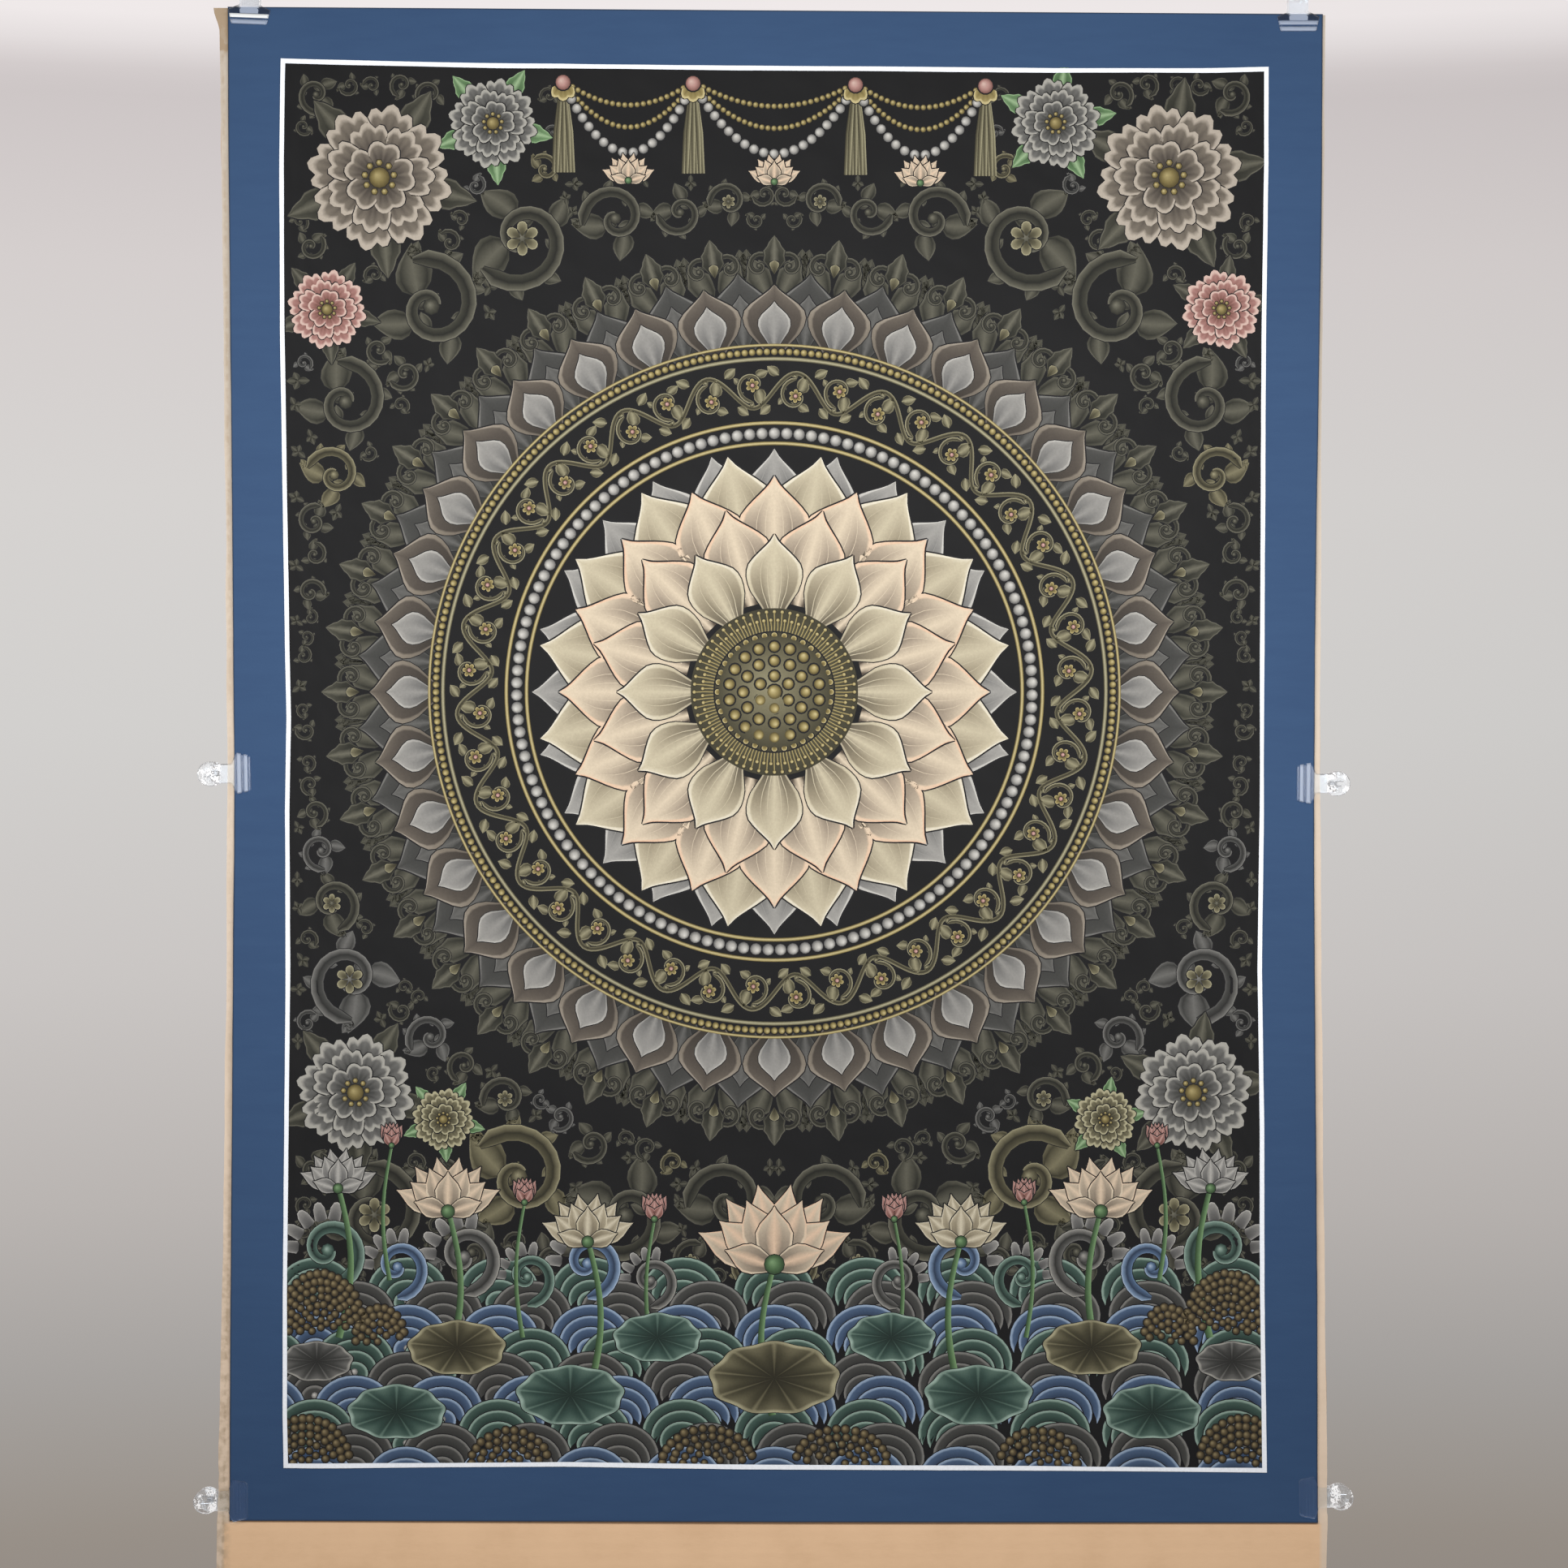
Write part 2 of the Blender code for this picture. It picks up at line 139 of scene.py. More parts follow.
# ---- colours, nodes and meshes ------------------------------------------------------------------

def linear(code):
    """An sRGB hex value as linear red, green, blue and a full alpha."""
    parts = [int(code[i:i + 2], 16) / 255 for i in (1, 3, 5)]
    return [c / 12.92 if c <= 0.04045 else ((c + 0.055) / 1.055) ** 2.4 for c in parts] + [1.0]


def add(tree, kind, inputs=None, **settings):
    """Adds one node with its settings. An input that is a socket is linked, any other typed in."""
    made = tree.nodes.new(kind)
    for name, value in settings.items():
        setattr(made, name, value)
    for name, value in (inputs or {}).items():
        if isinstance(value, bpy.types.NodeSocket):
            tree.links.new(value, made.inputs[name])
        else:
            made.inputs[name].default_value = value
    return made


def maths(tree, operation, *terms):
    return add(tree, "ShaderNodeMath", dict(enumerate(terms)), operation=operation).outputs[0]


def new_material(name, **shader):
    """A material with one Principled shader, whose even values are set on its own sockets."""
    material = bpy.data.materials.new(name)
    material.use_nodes = True
    tree = material.node_tree
    tree.nodes.clear()
    surface = add(tree, "ShaderNodeBsdfPrincipled", shader)
    add(tree, "ShaderNodeOutputMaterial", {"Surface": surface.outputs[0]})
    return material, tree, surface


def ramp(tree, source, stops):
    """A colour ramp through (place, linear colour) stops."""
    made = add(tree, "ShaderNodeValToRGB", {0: source})
    elements = made.color_ramp.elements
    while len(elements) < len(stops):
        elements.new(0.5)
    for element, (place, shade) in zip(elements, stops):
        element.position, element.color = place, shade
    return made.outputs[0]


def tints(base, *stops):
    """Ramp stops whose colours are the base colour times red, green and blue factors."""
    return [(place, tuple(np.array(base) * (*factors, 1))) for place, factors in stops]


def own_place(tree):
    """The place on the object in its own metres."""
    return add(tree, "ShaderNodeTexCoord").outputs["Object"]


def attribute(tree, name, output="Fac"):
    return add(tree, "ShaderNodeAttribute", attribute_name=name).outputs[output]


def noise(tree, place, scale, detail, **more):
    """Noise from 0 to 1 with scale patches to the metre."""
    return add(tree, "ShaderNodeTexNoise", {"Vector": place, "Scale": scale, "Detail": detail,
                                            **more}).outputs["Fac"]


def drawn_out(tree, place, *scale):
    """A place whose pattern is drawn out along the axes with a low scale."""
    return add(tree, "ShaderNodeMapping", {"Scale": scale, "Vector": place}).outputs[0]


def bands(tree, place, pitch, axis, **more):
    """Waves from 0 to 1 that are pitch metres apart along one axis."""
    return add(tree, "ShaderNodeTexWave", {"Vector": place, "Scale": math.pi / (10 * pitch),
                                           **more}, bands_direction=axis).outputs["Fac"]


def remap(tree, value, limits, results=(0.0, 1.0), **settings):
    """A value that runs between two limits, made to run between two results."""
    return add(tree, "ShaderNodeMapRange", {"Value": value, "From Min": limits[0],
                                            "From Max": limits[1], "To Min": results[0],
                                            "To Max": results[1]}, **settings).outputs[0]


def mix(tree, share, one, two, blend="MIX"):
    return add(tree, "ShaderNodeMix", {0: share, 6: one, 7: two}, data_type="RGBA",
               blend_type=blend).outputs[2]


def weighted(tree, one, weight, two, rest):
    return maths(tree, "ADD", maths(tree, "MULTIPLY", one, weight),
                 maths(tree, "MULTIPLY", two, rest))


def bump(tree, height, strength, depth, **more):
    """A normal roughened by a height from 0 to 1 that stands for depth metres."""
    return add(tree, "ShaderNodeBump", {"Height": height, "Strength": strength, "Distance": depth,
                                        **more}).outputs[0]


def dress(tree, surface, **sources):
    """Links sockets to the surface's inputs, named with _ for a space."""
    for name, source in sources.items():
        tree.links.new(source, surface.inputs[name.replace("_", " ")])


def new_mesh(name, points, faces, **marks):
    """A mesh from points and faces, with one number per point for each mark."""
    mesh = bpy.data.meshes.new(name)
    mesh.from_pydata(np.asarray(points, float).tolist(), [], faces if isinstance(faces, list)
                     else faces.tolist())
    for mark, values in marks.items():
        mesh.attributes.new(mark, "FLOAT", "POINT").data.foreach_set("value",
                                                                     np.asarray(values, np.float32))
    return mesh


def new_piece(name, mesh, material, smooth_faces=True):
    """Puts a finished mesh in the scene as one piece that rides on the root body."""
    mesh.validate()
    if smooth_faces:
        mesh.shade_smooth()
    piece = bpy.data.objects.new(name, mesh)
    if not mesh.materials:
        mesh.materials.append(material)
    bpy.context.scene.collection.objects.link(piece)
    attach(piece, "root")
    return piece


def grid_faces(rows, columns, start=0):
    index = np.arange(rows * columns).reshape(rows, columns) + start
    return np.stack([index[:-1, :-1], index[1:, :-1], index[1:, 1:], index[:-1, 1:]],
                    -1).reshape(-1, 4)


def fan_faces(sides, rings):
    """Faces of a round patch: a fan about its first point, then rings of four-sided faces."""
    pairs = [(a, (a + 1) % sides) for a in range(sides)]
    faces = [[0, 1 + a, 1 + b] for a, b in pairs]
    for base in range(1, 1 + rings * sides, sides):
        faces += [[base + a, base + sides + a, base + sides + b, base + b] for a, b in pairs]
    return faces


def touches(x, y, reach, circles, share=1.0):
    """Whether a circle comes nearer to any of the others than a share of where they would touch."""
    return any(math.hypot(x - other[0], y - other[1]) < (other[2] + reach) * share
               for other in circles)


def closed_sheet(front, back):
    """Points and outward faces of a sheet from its front and back grids of points."""
    rows, columns = front.shape[:2]
    count = rows * columns
    index = np.arange(count).reshape(rows, columns)
    rim = np.concatenate([index[0, :-1], index[:-1, -1], index[-1, :0:-1], index[:0:-1, 0]])
    after = np.roll(rim, -1)
    sides = np.stack([rim, after, after + count, rim + count], -1)
    faces = np.concatenate([grid_faces(rows, columns), grid_faces(rows, columns, count)[:, ::-1],
                            sides])
    return np.concatenate([front.reshape(-1, 3), back.reshape(-1, 3)]), faces


# ---- geometry nodes -----------------------------------------------------------------------------

def new_tree(name, **inputs):
    """A geometry tree with named inputs, and what its group input gives."""
    tree = bpy.data.node_groups.new(name, "GeometryNodeTree")
    tree.interface.new_socket("Geometry", in_out="INPUT", socket_type="NodeSocketGeometry")
    tree.interface.new_socket("Geometry", in_out="OUTPUT", socket_type="NodeSocketGeometry")
    for label, kind in {**inputs, "Material": "Material"}.items():
        tree.interface.new_socket(label, in_out="INPUT", socket_type="NodeSocket" + kind)
    return tree, add(tree, "NodeGroupInput").outputs


def end_tree(tree, geometry, given):
    """Ends a tree in real geometry that wears the given material."""
    real = add(tree, "GeometryNodeRealizeInstances", {0: geometry}).outputs[0]
    worn = add(tree, "GeometryNodeSetMaterial",
               {"Geometry": real, "Material": given["Material"]}).outputs[0]
    add(tree, "NodeGroupOutput", {0: worn})
    return tree


def own_position(tree):
    return add(tree, "GeometryNodeInputPosition").outputs[0]


def moved(tree, geometry, **to):
    return add(tree, "GeometryNodeSetPosition", {"Geometry": geometry, **to}).outputs[0]


def vector(tree, **axes):
    return add(tree, "ShaderNodeCombineXYZ", axes).outputs[0]


def round_place(tree, angle, away, **more):
    """The place at an angle round a centre and at a distance from it."""
    return vector(tree, X=maths(tree, "MULTIPLY", maths(tree, "SINE", angle), away),
                  Y=maths(tree, "MULTIPLY", maths(tree, "COSINE", angle), away), **more)


def motifs(tree, given, points, **turn):
    """The motif on each point."""
    motif = add(tree, "GeometryNodeObjectInfo", {"Object": given["Motif"]}).outputs["Geometry"]
    return add(tree, "GeometryNodeInstanceOnPoints", {"Points": points, "Instance": motif,
                                                      **turn}).outputs[0]


def ring_tree():
    """Repeats a motif round a ring, each one turned to face outwards."""
    tree, given = new_tree("Motifs round a ring", Motif="Object", Count="Int", Radius="Float",
                           Turn="Float")
    points = add(tree, "GeometryNodePoints", {"Count": given["Count"]}).outputs[0]
    index = add(tree, "GeometryNodeInputIndex").outputs[0]
    step = maths(tree, "DIVIDE", math.tau, given["Count"])
    angle = maths(tree, "ADD", maths(tree, "MULTIPLY", index, step), given["Turn"])
    placed = moved(tree, points, Position=round_place(tree, angle, given["Radius"]))
    turned = vector(tree, Z=maths(tree, "MULTIPLY", angle, -1.0))
    return end_tree(tree, motifs(tree, given, placed, Rotation=turned), given)


def band_tree():
    """Repeats a motif side by side and bends the row into a ring."""
    tree, given = new_tree("Motif band bent round a ring", Motif="Object", Count="Int",
                           Radius="Float")
    points = add(tree, "GeometryNodePoints", {"Count": given["Count"]}).outputs[0]
    index = add(tree, "GeometryNodeInputIndex").outputs[0]
    pitch = maths(tree, "DIVIDE", maths(tree, "MULTIPLY", given["Radius"], math.tau),
                  given["Count"])
    placed = moved(tree, points, Position=vector(tree, X=maths(tree, "MULTIPLY", index, pitch)))
    real = add(tree, "GeometryNodeRealizeInstances", {0: motifs(tree, given, placed)}).outputs[0]
    along, up, layer = add(tree, "ShaderNodeSeparateXYZ", {0: own_position(tree)}).outputs
    angle = maths(tree, "DIVIDE", along, given["Radius"])
    away = maths(tree, "ADD", up, given["Radius"])
    return end_tree(tree, moved(tree, real, Position=round_place(tree, angle, away, Z=layer)),
                    given)

def path_tree():
    """Sets a motif along a drawn path at an even spacing, turned along it."""
    tree, given = new_tree("Motifs along a path", Motif="Object", Spacing="Float")
    curve = add(tree, "GeometryNodeMeshToCurve", {"Mesh": given["Geometry"]}).outputs[0]
    even = add(tree, "GeometryNodeResampleCurve", {"Curve": curve, "Length": given["Spacing"]},
               mode="LENGTH")
    tangent = add(tree, "GeometryNodeInputTangent").outputs[0]
    turned = add(tree, "FunctionNodeAlignRotationToVector", {"Vector": tangent}, axis="X",
                 pivot_axis="Z")
    return end_tree(tree, motifs(tree, given, even.outputs[0], Rotation=turned.outputs[0]), given)


def flute_tree():
    """A waved paper of a real thickness, its waves running down the board."""
    tree, given = new_tree("Corrugated medium", Width="Float", Length="Float", Pitch="Float",
                           Height="Float", Gauge="Float")
    waves = maths(tree, "DIVIDE", given["Length"], given["Pitch"])
    rows = maths(tree, "ADD", maths(tree, "MULTIPLY", waves, 10.0), 1.0)
    grid = add(tree, "GeometryNodeMeshGrid", {"Vertices X": 3, "Size X": given["Width"],
                                              "Size Y": given["Length"],
                                              "Vertices Y": rows}).outputs[0]
    down = add(tree, "ShaderNodeSeparateXYZ", {0: own_position(tree)}).outputs["Y"]
    turn = maths(tree, "MULTIPLY", maths(tree, "DIVIDE", down, given["Pitch"]), math.tau)
    rise = maths(tree, "MULTIPLY", maths(tree, "SINE", turn),
                 maths(tree, "MULTIPLY", given["Height"], 0.5))
    waved = moved(tree, grid, Offset=vector(tree, Z=rise))
    thick = add(tree, "GeometryNodeExtrudeMesh", {"Mesh": waved, "Offset Scale": given["Gauge"],
                                                  "Individual": False}).outputs[0]
    under = add(tree, "GeometryNodeFlipFaces", {"Mesh": waved}).outputs[0]
    both = add(tree, "GeometryNodeJoinGeometry", {0: thick})
    tree.links.new(under, both.inputs[0])
    closed = add(tree, "GeometryNodeMergeByDistance", {0: both.outputs[0],
                                                       "Distance": 1e-6}).outputs[0]
    return end_tree(tree, closed, given)


def points_of(mesh):
    found = np.empty(len(mesh.vertices) * 3, np.float32)
    mesh.vertices.foreach_get("co", found)
    return found.reshape(-1, 3)


def grown(tree, values, host_mesh=None):
    """Runs a geometry tree once and returns its result as a plain mesh."""
    host = bpy.data.objects.new("growing", host_mesh or bpy.data.meshes.new("growing"))
    bpy.context.scene.collection.objects.link(host)
    modifier = host.modifiers.new("Grow", "NODES")
    modifier.node_group = tree
    for item in tree.interface.items_tree:
        if item.in_out == "INPUT" and item.name in values:
            modifier[item.identifier] = values[item.name]
    graph = bpy.context.evaluated_depsgraph_get()
    mesh = bpy.data.meshes.new_from_object(host.evaluated_get(graph))
    host.modifiers.remove(modifier)
    bpy.data.objects.remove(host)
    return mesh


# ---- painting -----------------------------------------------------------------------------------

# Gouache pigments, from their deepest shade to their lightest.
PIGMENTS = {
    "ink": ("#101012", "#141416", "#18181a", "#1c1c1e"),
    "ground": ("#0c0c0e", "#101011", "#131314", "#171717"),
    "line_white": ("#b9c2d2", "#ccd2dc", "#d6dbe2", "#dfe2e7"),
    "ivory": ("#433d33", "#7d7461", "#aba28b", "#cbc5b5"),
    "blush": ("#453c33", "#85796a", "#bcae98", "#c39b80"),
    "gold": ("#241f0e", "#524728", "#82754a", "#a89c72"),
    "khaki": ("#1c1a13", "#3d3a2b", "#69644e", "#959075"),
    "pearl_grey": ("#2f2f2f", "#636260", "#908e89", "#b3b1ab"),
    "stone_grey": ("#1a1a19", "#3a3a38", "#646360", "#8f8d86"),
    "slate_grey": ("#141412", "#262620", "#403f36", "#615f53"),
    "taupe": ("#1e1b17", "#443e38", "#6f675c", "#9b9286"),
    "river_green": ("#111a17", "#2c403a", "#54695f", "#8b9f94"),
    "water_blue": ("#1a2230", "#35465f", "#5f7590", "#9aa8b8"),
    "rose": ("#35201d", "#6b4841", "#96706a", "#b39a90"),
    "leaf_green": ("#1a2719", "#3c5537", "#66835c", "#93a886"),
    "bark_brown": ("#110d08", "#30291d", "#574c36", "#7f7254"),}
PIGMENT_ROWS = {name: row for row, name in enumerate(PIGMENTS)}
PIGMENT_RAMPS = np.array([[linear(code)[:3] for code in codes] for codes in PIGMENTS.values()])

FINE = np.array([-1, -0.9, -0.83, -0.45, 0, 0.45, 0.83, 0.9, 1.0])
PLAIN = np.array([-1, -0.72, 0, 0.72, 1.0])
LOTUS = ((0, 0.12, 0.28, 0.42, 0.53, 0.63, 0.73, 0.82, 0.91, 1),
         (0.3, 0.5, 0.82, 0.97, 1.0, 0.92, 0.7, 0.43, 0.17, 0.0))
LEAF = ((0, 0.08, 0.2, 0.35, 0.5, 0.65, 0.8, 0.92, 1), (0.12, 0.42, 0.8, 0.99, 1.0, 0.84, 0.52, 0.2,
                                                        0.0))
DROP = ((0, 0.15, 0.45, 0.75, 0.92, 1), (0.05, 0.25, 0.7, 1.0, 0.75, 0.0))

# The layout in picture millimetres: where paint ends under the white line, and what the vines
# keep clear of.
CUT_SIDES, CUT_FOOT, CUT_TOP, FOOT_FALL, TOP_FALL = (-292.9, 292.8), -419.0, 418.2, 0.0046, 0.0085
FIELD_SIDE, FIELD_TOP = 290.0, 414.0
MEDALLION, WATER_TOP, SWAG_REACH = 284.0, -300.0, 126.0
# place, radius, pigment and leaf pigment of each pair of peonies
PEONIES = ((-236, 352, 44, "taupe", "slate_grey"), (-168, 384, 27, "stone_grey", "leaf_green"),
           (-268, 274, 24, "rose", "slate_grey"), (-252, -196, 36, "stone_grey", "slate_grey"),
           (-199, -212, 19, "khaki", "leaf_green"))

# How shapes that come again are painted.
SMALL_LEAF = {"profile": LEAF, "columns": PLAIN, "outline": 0.4}
PLAIN_PETAL = {"lobes": 1, "rows": (0, 0.5, 0.9, 1.0), "steps": 7, "streaks": 0.0}
PEARL = {"shade": (1.0, 0.66, 0.12), "shine": 0.3, "outline": 0.5}
SEED = {"shade": (1.0, 0.62, 0.18), "shine": 0.3, "outline": 0.9}


class Brush:
    """Gathers painted shapes in picture millimetres: across, up, layer, shade and pigment row."""

    def __init__(self, seed=0):
        self.points, self.faces, self.shades, self.rows, self.count = [], [], [], [], 0
        self.chance = np.random.default_rng(seed)

    def put(self, across, up, layer, shade, pigment, faces):
        """Adds points of one shape, whose faces count from its own first point."""
        across, up, layer, shade = (grid.ravel() for grid in np.broadcast_arrays(
                across, up, layer, shade))
        self.points.append(np.stack([across, up, layer], -1))
        self.shades.append(np.clip(shade, 0, 1))
        self.rows.append(np.full(across.size, PIGMENT_ROWS[pigment]))
        self.faces.extend([[n + self.count for n in face] for face in faces])
        self.count += across.size

    def patch(self, across, up, layer, shade, pigment):
        """Adds a grid of points, rows by columns."""
        self.put(across, up, layer, shade, pigment, grid_faces(*across.shape).tolist())

    def stroke(self, path, width, pigment, layer, shade=(0.9, 0.35, 0.15, 0.5, 1.0), columns=PLAIN):
        """A ribbon along path. shade runs from its left edge to its right edge."""
        path = np.asarray(path, float)
        along = np.gradient(path, axis=0)
        along /= np.linalg.norm(along, axis=1, keepdims=True) + 1e-12
        side = np.stack([along[:, 1], -along[:, 0]], -1)
        half = np.broadcast_to(np.asarray(width, float), len(path))[:, None] / 2
        across = path[:, :1] + side[:, :1] * half * columns
        up = path[:, 1:] + side[:, 1:] * half * columns
        tones = np.interp(columns, np.linspace(-1, 1, len(shade)), shade)
        self.patch(across, up, layer, np.broadcast_to(tones, across.shape), pigment)

    def petal(self, place, length, width, turn, pigment, layer, profile=LOTUS, shade=(0.05, 0.75),
              rim=1.0, vein=None, rows=9, columns=FINE, bend=0.0, notch=0.0, outline=0.5, fade=1.0):
        """A petal or leaf with a light rim and a dark root, turned from straight up about place."""
        t = np.sin(np.linspace(0, math.pi / 2, rows))[:, None]
        toothed = 1 - notch * np.abs(np.sin(t * np.pi * 3.5)) * (t < 0.95)
        half = np.interp(t, *profile) * toothed * width / 2
        for side in ((-1, 1) if outline else ()):
            edge = side * (np.array([0.8, 1.0]) * half + np.array([0.0, outline])) + bend * t ** 2
            self.shape(place, turn, edge, t * (length + outline * 1.6) - outline * 0.4, layer - 0.5,
                       0.5, "ink")
        tone = shade[0] + (shade[1] - shade[0]) * t ** fade + 0 * columns
        tone = tone * (0.68 + 0.32 * np.abs(columns)) + 0.04 * self.chance.uniform(-1, 1)
        if vein is not None:
            tone = np.where(np.abs(columns) < 0.05, vein, tone)
        tone = np.where(np.abs(columns) > 0.86, rim * (0.45 + 0.55 * t), tone)
        self.shape(place, turn, columns * half + bend * t ** 2, t * length, layer, tone, pigment)

    def shape(self, place, turn, across, up, layer, shade, pigment):
        """Adds a grid that is turned clockwise and then moved to place."""
        up = np.broadcast_to(up, across.shape)
        c, s = math.cos(turn), math.sin(turn)
        self.patch(place[0] + across * c + up * s, place[1] - across * s + up * c, layer, shade,
                   pigment)

    def scallop(self, place, length, spread, turn, pigment, layer, lobes=3, depth=0.1,
                shade=(0.05, 0.7), rim=1.0, root=0.12, rows=(0, 0.3, 0.6, 0.85, 0.93, 1.0),
                steps=13, streaks=0.06, under=0.5):
        """A broad petal with a lobed outer edge, over an ink shape a little larger than itself."""
        s, t = np.linspace(-1, 1, steps)[None, :], np.array(rows)[:, None]
        lobe = np.abs(np.sin((s * lobes + lobes % 2) * np.pi / 2))
        reach = length * (1 - depth * (1 - lobe)) * (1 - 0.28 * np.abs(s) ** 3)
        away = root * length + t * (reach - root * length)
        streak = streaks * np.cos(s * 14) * (t > 0.1) * (t < 0.9)
        tone = np.where(t > 0.9, rim, shade[0] + (shade[1] - shade[0]) * t ** 1.3 + streak)
        for grow, level, tone, paint in ((0.55, layer - under, 0.4, "ink"),
                                         (0.0, layer, tone, pigment)):
            wide = spread * s * (0.55 + 0.45 * t) * (1 + grow * 1.2 / (spread * length))
            self.shape(place, turn, (away + grow) * np.sin(wide), (away + grow) * np.cos(wide),
                       level, tone, paint)

    def disc(self, place, radius, pigment, layer, shade=(1.0, 0.6, 0.1), sides=12, shine=0.25,
             outline=0.35):
        """A round bead, lit from its upper left."""
        if outline:
            self.disc(place, radius + outline, "ink", layer - 0.5, shade=(0.4,) * 3, sides=sides,
                      shine=0, outline=0)
        angle = np.arange(sides) / sides * math.tau
        lit = np.array([place]) + radius * np.array([[-shine, shine]])
        rings = [lit]
        for share in (0.55, 1.0):
            centre = np.array([place]) + (1 - share) * (lit - place)
            rings.append(centre + share * radius * np.stack([np.cos(angle), np.sin(angle)], -1))
        across, up = np.concatenate(rings).T
        self.put(across, up, layer, np.repeat(shade, (1, sides, sides)), pigment,
                 fan_faces(sides, 1))

    def volute(self, centre, radius, start, hand, pigment, layer, turns=1.35, width=0.2, steps=26,
               leaves=6, light=1.0):
        """A spiral stem that winds into its centre, with leaflets along its outer side."""
        def wound(t):
            """The angle and the distance from the centre at a share of the stem."""
            return start + hand * turns * math.tau * t, radius * ((1 - t) ** 1.15 * 0.78 + 0.10)

        t = np.linspace(0, 1, steps)
        angle, away = wound(t)
        path = np.stack([centre[0] + away * np.cos(angle), centre[1] + away * np.sin(angle)], -1)
        thick = radius * width * (1 - 0.5 * t) * np.minimum(1, 0.3 + t * 18)
        tone = np.array([1.0, 0.55, 0.12, 0.3, 0.62])[::-hand] * light
        self.stroke(path, thick + 0.9, "ink", layer - 0.5, shade=(0.4,) * 5, columns=PLAIN[[0, 4]])
        self.stroke(path, thick, pigment, layer, shade=tone)
        self.disc(centre, radius * 0.15, pigment, layer + 0.4, shade=(light, 0.6 * light, 0.2),
                  sides=8, shine=0.2, outline=0.3)
        for n, share in enumerate(np.linspace(0.0, 0.74, leaves)):
            inner = n % 2 and share > 0.1
            angle, away = wound(share)
            root = (centre[0] + away * math.cos(angle), centre[1] + away * math.sin(angle))
            reach = max(radius * 0.98 - away, radius * 0.26) * (0.8 if inner else 1.3)
            turn = math.pi / 2 - (angle + hand * (2.5 if inner else 0.5))
            self.petal(root, reach, reach * 0.74, turn, pigment, layer - 1.0, **SMALL_LEAF,
                       shade=(0.1, 0.7 * light), rim=light, vein=0.8 * light,
                       rows=9 if radius > 12 else 7, bend=hand * -0.2 * reach)

    def arrays(self):
        return (np.concatenate(self.points), self.faces, np.concatenate(self.shades),
                np.concatenate(self.rows))

    def repeat(self, tree, values, place=(0.0, 0.0), path=None):
        """Runs a geometry tree on the shapes gathered so far and returns the repeated shapes."""
        points, faces, shades, rows = self.arrays()
        motif = bpy.data.objects.new("motif", new_mesh("motif", points, faces, shade=shades,
                                                       row=rows))
        bpy.context.scene.collection.objects.link(motif)
        host = None
        if path is not None:
            host = bpy.data.meshes.new("path")
            host.from_pydata([(x, y, 0.0) for x, y in path],
                             [(i, i + 1) for i in range(len(path) - 1)], [])
        mesh = grown(tree, {"Motif": motif, "Material": paint_material(), **values}, host)
        bpy.data.objects.remove(motif)
        points = points_of(mesh) + np.array([*place, 0.0])
        marks = []
        for mark in ("shade", "row"):
            marks.append(np.empty(len(points), np.float32))
            mesh.attributes[mark].data.foreach_get("value", marks[-1])
        faces = [list(face.vertices) for face in mesh.polygons]
        bpy.data.meshes.remove(mesh)
        return points, faces, marks[0], np.rint(marks[1]).astype(int)

    def ring(self, tree, centre, count, radius, turn=0.0):
        """The shapes so far, count times round a centre and turned by a share of one step."""
        turn *= math.tau / count
        return self.repeat(tree, {"Count": count, "Radius": radius, "Turn": turn}, centre)


GOUACHE = {"Roughness": 0.72, "Specular IOR Level": 0.16}


def paint_material():
    """Gouache on primed cotton: opaque, matt and chalky, with a trace of the brush in it."""
    found = bpy.data.materials.get("Gouache on primed cotton")
    if found:
        return found
    material, tree, surface = new_material("Gouache on primed cotton", **GOUACHE)
    # A fine brush leaves streaks of about 1.2 mm.
    streaks = noise(tree, own_place(tree), 820.0, 3.0, Roughness=0.6)
    shift = ramp(tree, streaks, tints((1, 1, 1, 1), (0.3, (0.93,) * 3), (0.7, (1.05,) * 3)))
    dress(tree, surface, Base_Color=mix(tree, 1.0, attribute(tree, "pigment", "Color"), shift,
                                        "MULTIPLY"))
    return material


